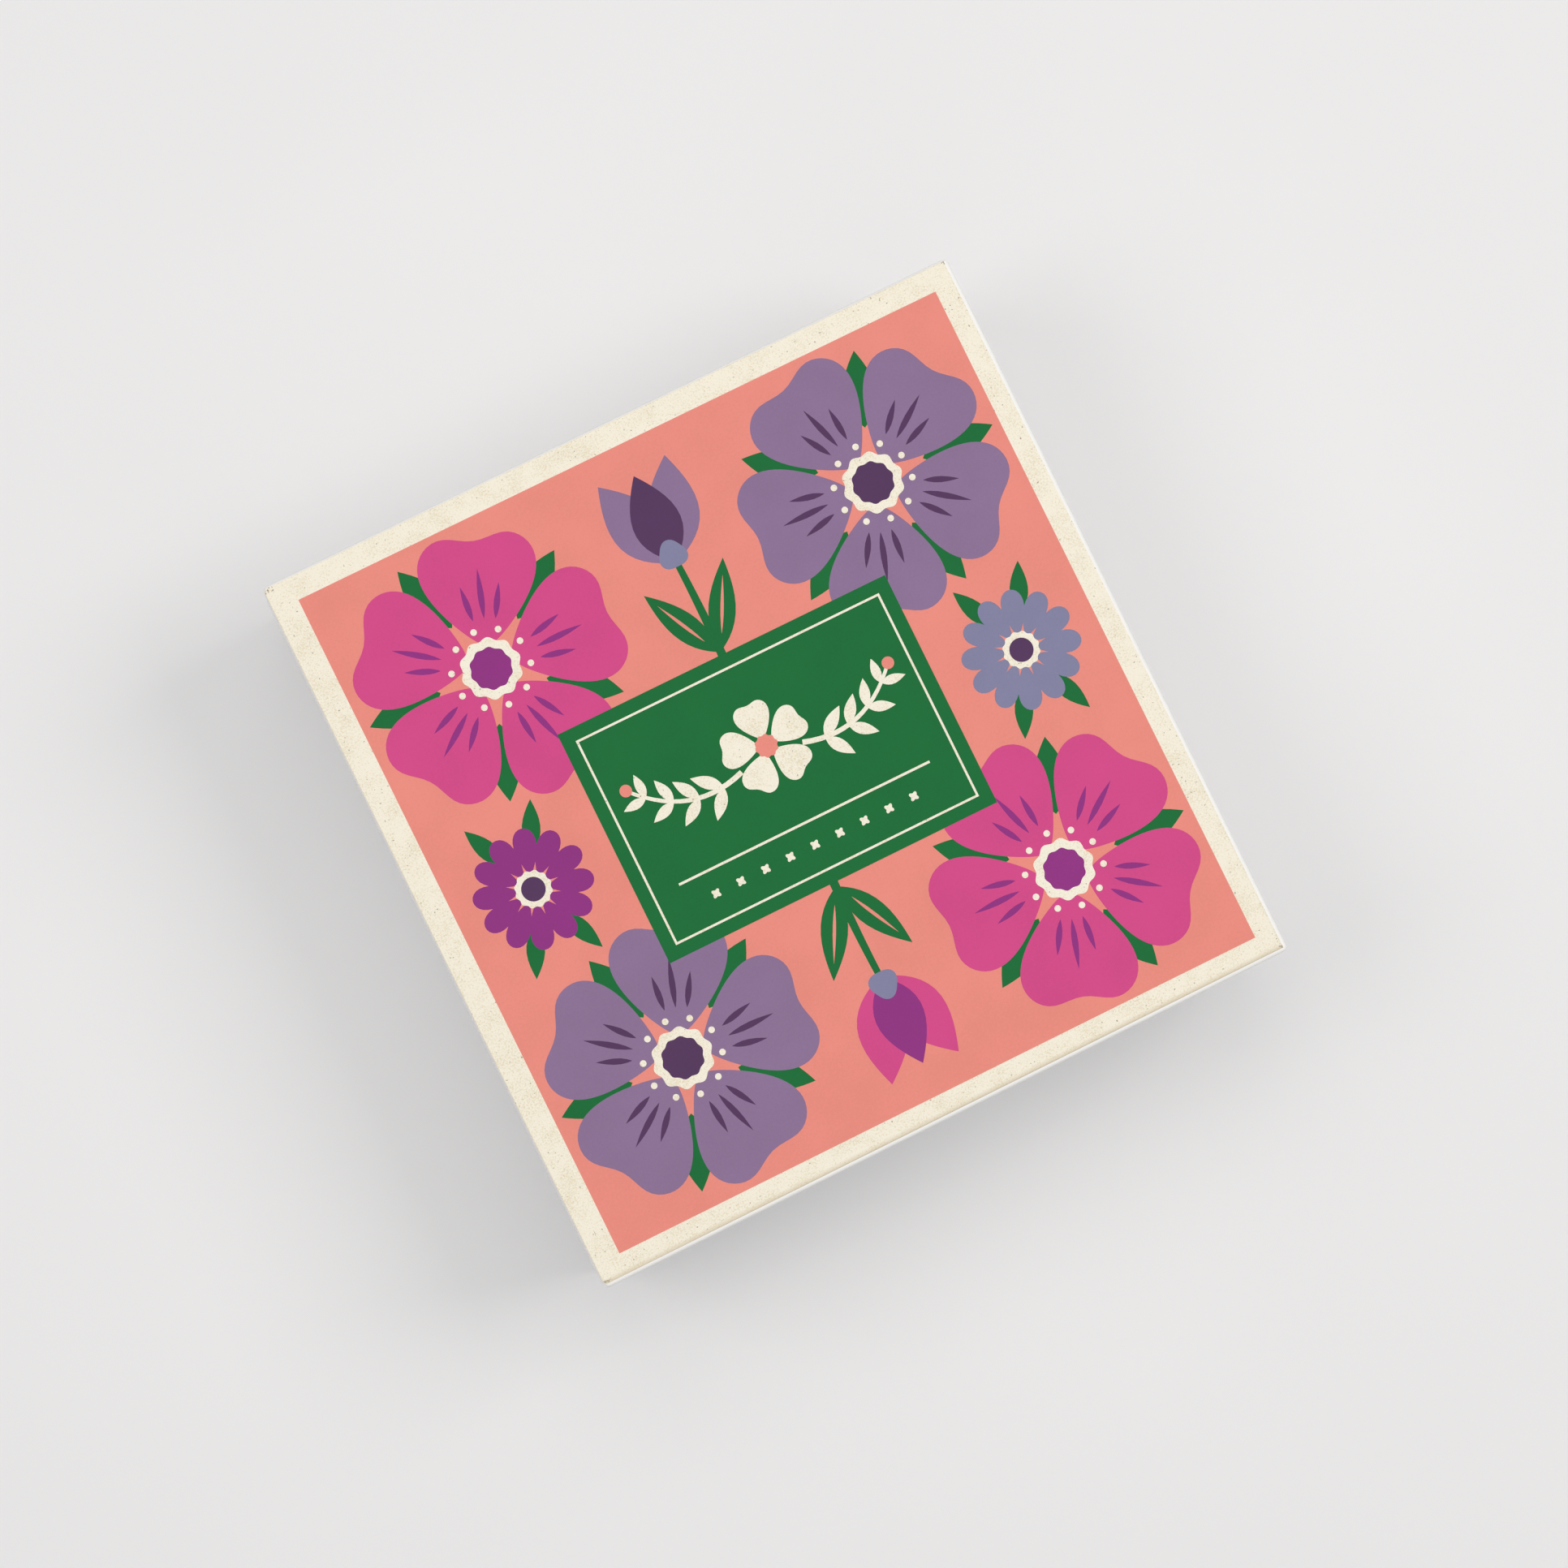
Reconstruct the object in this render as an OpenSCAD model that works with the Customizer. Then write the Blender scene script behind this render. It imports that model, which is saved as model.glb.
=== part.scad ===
// Flower press in its box. Two plywood boards are drawn together by four carriage bolts and wing
// nuts over a stack of corrugated cards and blotting paper. The closed press lies in a paper-covered
// rigid tray, under a lift-off lid that carries a printed cover sheet. Z is up, and the origin is the
// middle of the tray's underside. Every gap between pieces is a named clearance.

/* [Boards] */
// Width of both press boards
board_w = 167; // [150:1:220]
// Length of both press boards
board_l = 170; // [150:1:220]
// Thickness of each board
board_t = 8; // [7:0.5:12]
// Corner radius of the boards
board_corner_r = 5; // [3:0.5:10]
// Rounding of the boards' long edges
board_edge_r = 0.8; // [0.4:0.1:1.5]
// Distance from a board's edges to each bolt's axis
bolt_inset = 16; // [14.5:0.5:24]

/* [Sheets] */
// Distance from the boards' edges to the edges of cards and blotting paper
sheet_margin = 3.5; // [2:0.5:8]
// Thickness of one corrugated card
card_t = 3; // [2:0.1:4]
// Thickness of each flat liner of a card
liner_t = 0.3; // [0.2:0.05:0.5]
// Thickness of the wavy middle layer of a card
flute_t = 0.3; // [0.2:0.05:0.5]
// Distance from one wave to the next
flute_pitch = 6.4; // [5:0.2:9]
// Width over which a wave's crest is glued to its liner
glue_land = 0.9; // [0.4:0.1:1.4]
// Thickness of one sheet of blotting paper
blotter_t = 0.4; // [0.25:0.05:0.8]
// Gap between a sheet's cut corner and the bolt beside it
corner_gap = 2.5; // [1:0.5:6]

/* [Bolts and wing nuts] */
// Diameter of the bolts
bolt_d = 6; // [5:0.5:7]
// Diameter of a bolt's domed head
head_d = 16; // [13:0.5:18]
// Height of the domed head
head_h = 3.2; // [2.6:0.1:3.6]
// Depth of the head below the lower board's underside
head_sink = 0.6; // [0.3:0.1:1.2]
// Length of the square neck under the head
neck_l = 2.8; // [2:0.1:3]
// Bevel at the bolt's tip
bolt_bevel = 0.8; // [0.4:0.1:1.2]
// Thread left free above a nut when the press is closed
bolt_free = 9; // [7:0.5:14]
// Outside diameter of the washers
washer_d = 16; // [14:0.5:20]
// Thickness of the washers
washer_t = 1.2; // [0.8:0.1:2]
// Diameter of a wing nut's foot
nut_foot_d = 12.6; // [11:0.2:14]
// Height of a wing nut's foot
nut_foot_h = 1.4; // [1:0.1:2.2]
// Diameter of the hub at its upper end
nut_hub_d = 10.4; // [9.6:0.2:11]
// Height of the hub
nut_hub_h = 7.5; // [6:0.5:9]
// Span over both wings
wing_span = 33; // [28:0.5:34]
// Height from a nut's foot to the top of its wings
wing_h = 16.5; // [14:0.5:18]
// Radius of a wing's round ear
wing_ear_r = 4.4; // [3.5:0.1:5]
// Thickness of a wing at its ear
wing_t = 2.4; // [1.8:0.1:3]
// Thickness of a wing where it leaves the hub
wing_root_t = 5; // [3.4:0.2:6]

/* [Box] */
// Thickness of the board that tray and lid are made of
box_board_t = 1.5; // [1:0.1:2.5]
// Gap between the press and the tray's walls
press_gap = 3; // [2.5:0.5:8]
// Gap between the tray's walls and the lid's walls
lid_gap = 0.5; // [0.3:0.1:1.5]
// Depth of the lid's walls, outside
lid_depth = 30; // [20:1:44]
// Space between the wing nuts and the closed lid
headroom = 0.8; // [0.4:0.1:4]
// Radius of the box's upright corners
box_corner_r = 1.2; // [1:0.1:2.4]
// Rounding of the lid's upper edges and the tray's lower edges
box_edge_r = 0.9; // [0.4:0.1:1]
// Distance from the lid's edges to the printed cover sheet
print_inset = 1; // [0.9:0.1:4]
// Thickness of the printed cover sheet
print_t = 0.3; // [0.15:0.05:0.6]

/* [Leaflet] */
// Length of the folded leaflet
leaflet_l = 140; // [100:1:146]
// Thickness of the leaflet's paper
leaf_t = 0.25; // [0.15:0.05:0.4]
// Gap between the leaflet's two leaves
fold_gap = 0.4; // [0.2:0.1:0.8]
// Gap between the leaflet and the turning wings
leaflet_gap = 2; // [1:0.5:6]

/* [Hidden] */
$fn = 64;

// Clearances
bolt_gap = 0.3;      // between a bolt and the top board's holes and washers
neck_gap = 0.05;     // between the square neck and its pocket
head_gap = 0.5;      // between a bolt's head and its counterbore
thread_fit = 0.06;   // between a bolt and the nut that runs on it
overrun = 1;         // how far a cutting shape passes the face that it cuts

// Details of the bolts and nuts
nut_bevel = 0.5;     // bevels of the nut's foot, hub and bore
wing_foot_z = 1.6;   // height at which a wing's lower edge meets the hub
wing_low_a = -48;    // angles between which the ear is round
wing_high_a = 172;
ear_steps = 11;      // straight runs along an ear's round edge
flute_steps = 8;     // straight runs along one wave

// Stack: a card, then two sheets of blotting paper, and so on, ending with a card
card_count = 5;
blotters_between = 2;
group = blotters_between + 1;
layer_count = card_count * group - blotters_between;
function cards_below(k) = ceil(k / group);
function layer_z(k) = sheets_z + cards_below(k) * card_t + (k - cards_below(k)) * blotter_t;
function card_layer(n) = (n - 1) * group;
function blotter_layer(n) = n + floor((n - 1) / blotters_between);

// Heights, from the table up
press_z = box_board_t;
sheets_z = press_z + board_t;
top_board_z = layer_z(layer_count);
washer_z = top_board_z + board_t;
nut_z = washer_z + washer_t;
bolt_seat_z = press_z + head_sink + head_h;
bolt_tip_z = nut_z + nut_hub_h + bolt_free;
tray_h = max(bolt_tip_z, nut_z + wing_h) + headroom;
lid_top_z = tray_h + box_board_t;

// Plan sizes
tray_in_w = board_w + 2 * press_gap;
tray_in_l = board_l + 2 * press_gap;
tray_w = tray_in_w + 2 * box_board_t;
tray_l = tray_in_l + 2 * box_board_t;
lid_in_w = tray_w + 2 * lid_gap;
lid_in_l = tray_l + 2 * lid_gap;
lid_w = lid_in_w + 2 * box_board_t;
lid_l = lid_in_l + 2 * box_board_t;
bolt_x = board_w / 2 - bolt_inset;
bolt_y = board_l / 2 - bolt_inset;
sheet_w = board_w - 2 * sheet_margin;
sheet_l = board_l - 2 * sheet_margin;
sheet_cut = 2 * (bolt_inset - sheet_margin) + sqrt(2) * (bolt_d / 2 + corner_gap);
leaflet_w = 2 * (bolt_x - wing_span / 2 - leaflet_gap);
neck_w = bolt_d;

// Corners in turn, as signs: the bolts, washers and nuts stand at them
CORNERS = [[1, 1], [-1, 1], [-1, -1], [1, -1]];
function bolt_place(i, z) = [CORNERS[i][0] * bolt_x, CORNERS[i][1] * bolt_y, z];

// Half of a plate's cross-section, out to the radius r, with its upper edge rounded by e and its
// lower edge too where both is true
module edge_section(r, h, e, both) {
    low = both ? e : 0;
    intersection() {
        square([r, h]);
        union() {
            square([r - e, h]);
            translate([0, low]) square([r, h - e - low]);
            translate([r - e, h - e]) circle(e);
            if (both) translate([r - e, e]) circle(e);
        }
    }
}

// Plate or block with round upright corners and rounded edges: quarter turns of the section at
// the corners, straight runs of it along the sides, and a plain middle
module soft_block(w, l, h, r, e, both) {
    in_x = w / 2 - r;
    in_y = l / 2 - r;
    for (i = [0 : 3])
        translate([CORNERS[i][0] * in_x, CORNERS[i][1] * in_y, 0])
            rotate([0, 0, 90 * i]) rotate_extrude(angle = 90) edge_section(r, h, e, both);
    for (turn = [0, 180]) rotate([0, 0, turn]) {
        translate([in_x, in_y, 0])
            rotate([90, 0, 0]) linear_extrude(2 * in_y) edge_section(r, h, e, both);
        translate([-in_x, in_y, 0])
            rotate([90, 0, 90]) linear_extrude(2 * in_x) edge_section(r, h, e, both);
    }
    translate([-in_x, -in_y, 0]) cube([2 * in_x, 2 * in_y, h]);
}

// Upright cylinder that cuts a hole of radius r from z up through a height h
module hole(i, z, h, r) {
    translate(bolt_place(i, z)) cylinder(h = h, r = r);
}

// Open tray of wrapped board, with its outer edges rounded by the paper
module box_tray() {
    color("#e9e9ea") difference() {
        translate([0, 0, tray_h]) rotate([180, 0, 0])
            soft_block(tray_w, tray_l, tray_h, box_corner_r, box_edge_r, false);
        translate([-tray_in_w / 2, -tray_in_l / 2, press_z]) cube([tray_in_w, tray_in_l, tray_h]);
    }
}

// Lift-off lid: its top lies on the tray's rim and its walls hang outside the tray
module box_lid() {
    color("#f1f0ee") difference() {
        translate([0, 0, lid_top_z - lid_depth])
            soft_block(lid_w, lid_l, lid_depth, box_corner_r, box_edge_r, false);
        translate([-lid_in_w / 2, -lid_in_l / 2, tray_h - lid_depth])
            cube([lid_in_w, lid_in_l, lid_depth]);
    }
}

// Printed sheet of speckled paper, glued to the lid's top
module lid_print() {
    w = lid_w - 2 * print_inset;
    l = lid_l - 2 * print_inset;
    color("#e98e82") translate([-w / 2, -l / 2, lid_top_z]) cube([w, l, print_t]);
}

// Lower board: the bolts' heads lie in counterbores and their square necks in pockets
module bottom_board() {
    color("#dfbf8e") difference() {
        translate([0, 0, press_z])
            soft_block(board_w, board_l, board_t, board_corner_r, board_edge_r, true);
        for (i = [0 : 3]) {
            hole(i, press_z - overrun, head_h + head_sink + overrun, head_d / 2 + head_gap);
            hole(i, press_z, board_t + overrun, bolt_d / 2 + bolt_gap);
            translate(bolt_place(i, bolt_seat_z))
                translate([-neck_w / 2 - neck_gap, -neck_w / 2 - neck_gap, -overrun])
                    cube([neck_w + 2 * neck_gap, neck_w + 2 * neck_gap, neck_l + neck_gap + overrun]);
        }
    }
}

// Upper board: it slides down the four bolts onto the stack
module top_board() {
    color("#e2c392") difference() {
        translate([0, 0, top_board_z])
            soft_block(board_w, board_l, board_t, board_corner_r, board_edge_r, true);
        for (i = [0 : 3])
            hole(i, top_board_z - overrun, board_t + 2 * overrun, bolt_d / 2 + bolt_gap);
    }
}

// Carriage bolt: domed head, square neck, round shank and a bevelled tip, seated at z = 0
module carriage_bolt(length) {
    dome_r = (head_d * head_d / 4 + head_h * head_h) / (2 * head_h);
    intersection() {
        translate([0, 0, dome_r - head_h]) sphere(dome_r);
        translate([0, 0, -head_h]) cylinder(h = head_h, r = head_d / 2);
    }
    translate([-neck_w / 2, -neck_w / 2, 0]) cube([neck_w, neck_w, neck_l]);
    cylinder(h = length - bolt_bevel, r = bolt_d / 2);
    translate([0, 0, length - bolt_bevel])
        cylinder(h = bolt_bevel, r1 = bolt_d / 2, r2 = bolt_d / 2 - bolt_bevel);
}

module carriage_bolts() {
    color("silver") for (i = [0 : 3])
        translate(bolt_place(i, bolt_seat_z)) carriage_bolt(bolt_tip_z - bolt_seat_z);
}

module washers() {
    color("silver") for (i = [0 : 3]) difference() {
        hole(i, washer_z, washer_t, washer_d / 2);
        hole(i, washer_z - overrun, washer_t + 2 * overrun, bolt_d / 2 + bolt_gap);
    }
}

// Outline of one wing, seen from the side: a root inside the hub and a round ear
function wing_outline() = let (
        root_x = nut_hub_d / 4 + bolt_d / 4,
        ear = [wing_span / 2 - wing_ear_r, wing_h - wing_ear_r]
    ) concat(
        [[root_x, wing_foot_z]],
        [for (s = [0 : ear_steps])
            let (a = wing_low_a + (wing_high_a - wing_low_a) * s / ear_steps)
            ear + wing_ear_r * [cos(a), sin(a)]],
        [[root_x, nut_hub_h - nut_bevel]]
    );

// Wing nut: a tapered hub on a wide foot, and two wings that thicken towards the hub
module wing_nut() {
    bore_r = bolt_d / 2 + thread_fit;
    foot_r = nut_foot_d / 2;
    hub_r = nut_hub_d / 2;
    difference() {
        union() {
            rotate_extrude() polygon([
                [0, 0], [foot_r - nut_bevel, 0], [foot_r, nut_bevel], [foot_r, nut_foot_h],
                [foot_r - nut_bevel, nut_foot_h + nut_bevel], [hub_r, nut_hub_h - nut_bevel],
                [hub_r - nut_bevel, nut_hub_h], [0, nut_hub_h]
            ]);
            for (side = [0, 180]) rotate([0, 0, side]) intersection() {
                translate([0, wing_root_t / 2, 0]) rotate([90, 0, 0])
                    linear_extrude(wing_root_t) polygon(wing_outline());
                linear_extrude(wing_h + overrun) polygon([
                    [0, -wing_root_t / 2], [hub_r, -wing_root_t / 2],
                    [foot_r + nut_bevel, -wing_t / 2 - nut_bevel / 2],
                    [foot_r + wing_t, -wing_t / 2], [wing_span, -wing_t / 2],
                    [wing_span, wing_t / 2], [foot_r + wing_t, wing_t / 2],
                    [foot_r + nut_bevel, wing_t / 2 + nut_bevel / 2],
                    [hub_r, wing_root_t / 2], [0, wing_root_t / 2]
                ]);
            }
        }
        translate([0, 0, -overrun]) cylinder(h = wing_h + overrun, r = bore_r);
        translate([0, 0, nut_hub_h - nut_bevel])
            cylinder(h = nut_bevel, r1 = bore_r, r2 = bore_r + nut_bevel);
        cylinder(h = nut_bevel, r1 = bore_r + nut_bevel, r2 = bore_r);
    }
}

module wing_nut_at(i) {
    color("silver") translate(bolt_place(i - 1, nut_z)) wing_nut();
}

// Outline of a card or a sheet of paper, with its corners cut off clear of the bolts
module sheet_outline() {
    a = sheet_w / 2;
    b = sheet_l / 2;
    c = sheet_cut;
    polygon([
        [a, b - c], [a - c, b], [c - a, b], [-a, b - c],
        [-a, c - b], [c - a, -b], [a - c, -b], [a, c - b]
    ]);
}

// One tunnel of a corrugated card, about its own middle: the flat liner on one side and the
// cosine wave of the middle layer on the other
function tunnel(pitch, up) = let (
        wave_h = (card_t - 2 * liner_t - flute_t) / 2,
        half = (pitch - glue_land) / 2,
        cap = card_t / 2 - liner_t
    ) concat(
        [[-half, up * cap], [half, up * cap]],
        [for (s = [0 : flute_steps])
            let (x = half - 2 * half * s / flute_steps)
            [x, up * (flute_t / 2 - wave_h * cos(360 * x / pitch))]]
    );

// Corrugated card: the tunnels run along its length, between two liners
module card(n) {
    waves = round(sheet_w / flute_pitch);
    pitch = sheet_w / waves;
    color("#b98d5c") translate([0, 0, layer_z(card_layer(n))]) intersection() {
        linear_extrude(card_t) sheet_outline();
        translate([0, sheet_l / 2 + overrun, card_t / 2]) rotate([90, 0, 0])
            linear_extrude(sheet_l + 2 * overrun) difference() {
                translate([-sheet_w / 2 - pitch, -card_t / 2]) square([sheet_w + 2 * pitch, card_t]);
                for (i = [0 : waves]) translate([i * pitch - sheet_w / 2, 0]) {
                    polygon(tunnel(pitch, -1));
                    if (i < waves) translate([pitch / 2, 0]) polygon(tunnel(pitch, 1));
                }
            }
    }
}

module blotter(n) {
    color("#f4f1e6") translate([0, 0, layer_z(blotter_layer(n))])
        linear_extrude(blotter_t) sheet_outline();
}

// Leaflet folded once, its fold towards the left, on the upper board between the wing nuts
module leaflet() {
    fold_r = leaf_t + fold_gap / 2;
    run = leaflet_w - fold_r;
    color("#f3f0e8") translate([fold_r - leaflet_w / 2, leaflet_l / 2, washer_z + fold_r])
        rotate([90, 0, 0]) linear_extrude(leaflet_l) {
            translate([0, fold_gap / 2]) square([run, leaf_t]);
            translate([0, -fold_r]) square([run, leaf_t]);
            difference() {
                circle(fold_r);
                circle(fold_gap / 2);
                translate([0, -fold_r - overrun]) square([fold_r + overrun, 2 * (fold_r + overrun)]);
            }
        }
}

box_tray();
box_lid();
lid_print();
bottom_board();
top_board();
carriage_bolts();
washers();
wing_nut_at(1);  // wing_nut_1
wing_nut_at(2);  // wing_nut_2
wing_nut_at(3);  // wing_nut_3
wing_nut_at(4);  // wing_nut_4
card(1);  // card_1
card(2);  // card_2
card(3);  // card_3
card(4);  // card_4
card(5);  // card_5
blotter(1);  // blotter_1
blotter(2);  // blotter_2
blotter(3);  // blotter_3
blotter(4);  // blotter_4
blotter(5);  // blotter_5
blotter(6);  // blotter_6
blotter(7);  // blotter_7
blotter(8);  // blotter_8
leaflet();
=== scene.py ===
"""Looks of a boxed flower press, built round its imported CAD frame.

The photograph shows the closed box from almost straight above: a rigid tray and lift-off lid,
wrapped in white paper, with a printed sheet of speckled cream stock on the lid. The press lies
inside it: plywood boards, carriage bolts, wing nuts, corrugated cards and blotting paper.
Sizes are held in millimetres and turned to metres by MM, and places are read from the frame.
"""

import logging
import math
from dataclasses import dataclass
from enum import Enum
from typing import Callable, Mapping, Sequence

import bmesh
import bpy
from mathutils import Matrix, Vector


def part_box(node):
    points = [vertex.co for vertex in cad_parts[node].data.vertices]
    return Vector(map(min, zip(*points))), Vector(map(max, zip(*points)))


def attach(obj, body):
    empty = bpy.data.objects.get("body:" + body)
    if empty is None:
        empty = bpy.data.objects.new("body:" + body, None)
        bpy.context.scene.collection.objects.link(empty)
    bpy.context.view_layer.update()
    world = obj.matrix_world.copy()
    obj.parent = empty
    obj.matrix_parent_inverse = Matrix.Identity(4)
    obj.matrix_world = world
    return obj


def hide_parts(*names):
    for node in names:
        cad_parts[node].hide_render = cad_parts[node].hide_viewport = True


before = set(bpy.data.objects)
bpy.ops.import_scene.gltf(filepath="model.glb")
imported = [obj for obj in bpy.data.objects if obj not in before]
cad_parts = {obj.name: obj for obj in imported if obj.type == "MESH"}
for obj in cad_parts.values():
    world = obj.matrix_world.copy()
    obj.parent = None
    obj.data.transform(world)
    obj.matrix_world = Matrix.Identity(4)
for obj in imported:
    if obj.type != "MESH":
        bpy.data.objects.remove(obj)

logging.basicConfig(level=logging.INFO, format="%(message)s")
LOG = logging.getLogger("flower_press")

MM = 0.001
NEAR_M = 0.01 * MM
MERGE_M = 0.001 * MM
FULL_TURN = 2.0 * math.pi
SIDES = (-1.0, 1.0)
Point = tuple[float, float]
Curve = tuple[Point, Point, Point]
Outline = Callable[[float], Point]


# Materials

# Fibres, felt, mottle and the marks on zinc are finer in life than a render can show, so their
# patterns are drawn at 0.35 to 0.9 mm, as coarse as they need to be to show.

# Where most of a noise pattern's values lie, and where all of them do.
MIDDLE: Point = (0.3, 0.7)
WHOLE: Point = (0.0, 1.0)


def linear(hex_colour: str) -> tuple[float, float, float, float]:
    """Turns an sRGB hex colour into the linear RGBA that a shader takes.

    Args:
        hex_colour: The colour, such as "#E98E82".

    Returns:
        Red, green and blue in linear light, and an alpha of one.
    """
    digits = hex_colour.lstrip("#")
    shares = [int(digits[i : i + 2], 16) / 255.0 for i in (0, 2, 4)]
    r, g, b = [s / 12.92 if s <= 0.04045 else ((s + 0.055) / 1.055) ** 2.4 for s in shares]
    return (r, g, b, 1.0)


def per_metre(size_mm: float) -> float:
    """Pattern scale that gives one repeat of a real size in millimetres."""
    return 1.0 / (size_mm * MM)


class Surface:
    """A material under construction, with the object's own coordinates."""

    def __init__(self, name: str) -> None:
        """Starts an empty node tree.

        Args:
            name: The material's name.
        """
        self.material = bpy.data.materials.new(name)
        self.material.use_nodes = True
        self.tree = self.material.node_tree
        self.tree.nodes.clear()
        self.coords = self.add("TexCoord").outputs["Object"]

    def add(self, kind: str, *values: object, **named: object) -> bpy.types.Node:
        """Adds one node with its settings, values and links.

        An input gets a plain value, another node's socket, or a node, whose first output in use is
        then linked.

        Args:
            kind: Blender's name for the node's type, after "ShaderNode".
            *values: What the inputs in use get, from the first on.
            **named: The node's own settings, in small letters, and what further inputs get, by
                their names with "_" for each space.

        Returns:
            The new node.
        """
        node = self.tree.nodes.new(f"ShaderNode{kind}")
        for name in filter(str.islower, named):
            setattr(node, name, named[name])
        fed = list(zip([socket for socket in node.inputs if socket.enabled], values))
        fed += [(node.inputs[n.replace("_", " ")], v) for n, v in named.items() if not n.islower()]
        for socket, value in fed:
            if isinstance(value, bpy.types.Node):
                value = next(output for output in value.outputs if output.enabled)
            if isinstance(value, bpy.types.NodeSocket):
                self.tree.links.new(value, socket)
            else:
                socket.default_value = value
        return node

    def dress(self, **values: object) -> bpy.types.Material:
        """Adds the Principled shader with these inputs and gives the finished material."""
        self.add("OutputMaterial", self.add("BsdfPrincipled", **values))
        return self.material


def near_corners(s: Surface, half_mm: Point, reach_mm: float) -> bpy.types.Node:
    """Share that grows from nothing to one on the last millimetres before an oblong's four corners.

    Args:
        s: The material that it belongs to.
        half_mm: Half the oblong's width and depth.
        reach_mm: How far from the corner it starts.

    Returns:
        The node that gives the share.
    """
    start = [(reach_mm - half) * MM for half in half_mm]
    away = s.add("VectorMath", s.coords, operation="ABSOLUTE")
    past = s.add("SeparateXYZ", s.add("VectorMath", away, (*start, 0.0), operation="ADD")).outputs
    least = s.add("Math", past["X"], past["Y"], operation="MINIMUM")
    return s.add("MapRange", least, 0.0, reach_mm * MM)


@dataclass(frozen=True)
class WrapPaper:
    """Coated white wrapping paper, glued over board: clean and bright, faintly uneven in sheen."""

    name: str
    half_mm: Point
    colour: str = "#F5F4F2"
    scuff: str = "#C9C0B2"
    cloud_mm: float = 9.0
    cloud_tone: Point = (0.98, 1.0)
    fibre_mm: float = 0.5
    relief_mm: float = 0.05
    gloss: Point = (0.42, 0.62)
    scuff_mm: float = 0.9
    scuff_reach_mm: float = 1.4
    scuff_gain: float = 0.2
    scuff_range: Point = (0.76, 0.84)
    scuff_share: float = 0.6

    def material(self) -> bpy.types.Material:
        """Builds the paper: soft clouds, fine fibres, and rubbed specks at the upright edges.

        Returns:
            The finished material.
        """
        s = Surface(f"coated_white_wrap_paper_{self.name}")
        cloud = s.add("TexNoise", s.coords, Scale=per_metre(self.cloud_mm), Detail=3.0)
        fibre = s.add("TexNoise", s.coords, Scale=per_metre(self.fibre_mm), Detail=4.0, Roughness=0.7)
        mark = s.add("TexNoise", s.coords, Scale=per_metre(self.scuff_mm), Detail=5.0, Distortion=0.8)
        edge = near_corners(s, self.half_mm, self.scuff_reach_mm)
        rubbed = s.add("Math", edge, self.scuff_gain, mark, operation="MULTIPLY_ADD")
        scuffed = s.add("MapRange", rubbed, *self.scuff_range, 0.0, self.scuff_share)
        tone = s.add("MapRange", cloud, *MIDDLE, *self.cloud_tone)
        shaded = s.add("Mix", 1.0, linear(self.colour), tone, data_type="RGBA", blend_type="MULTIPLY")
        colour = s.add("Mix", scuffed, shaded, linear(self.scuff), data_type="RGBA")
        gloss = s.add("MapRange", fibre, *WHOLE, *self.gloss)
        relief = s.add("Math", cloud, fibre, operation="ADD")
        bump = s.add("Bump", Strength=0.15, Distance=self.relief_mm * MM, Height=relief)
        return s.dress(Base_Color=colour, Roughness=gloss, Normal=bump, Specular_IOR_Level=0.4)


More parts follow.
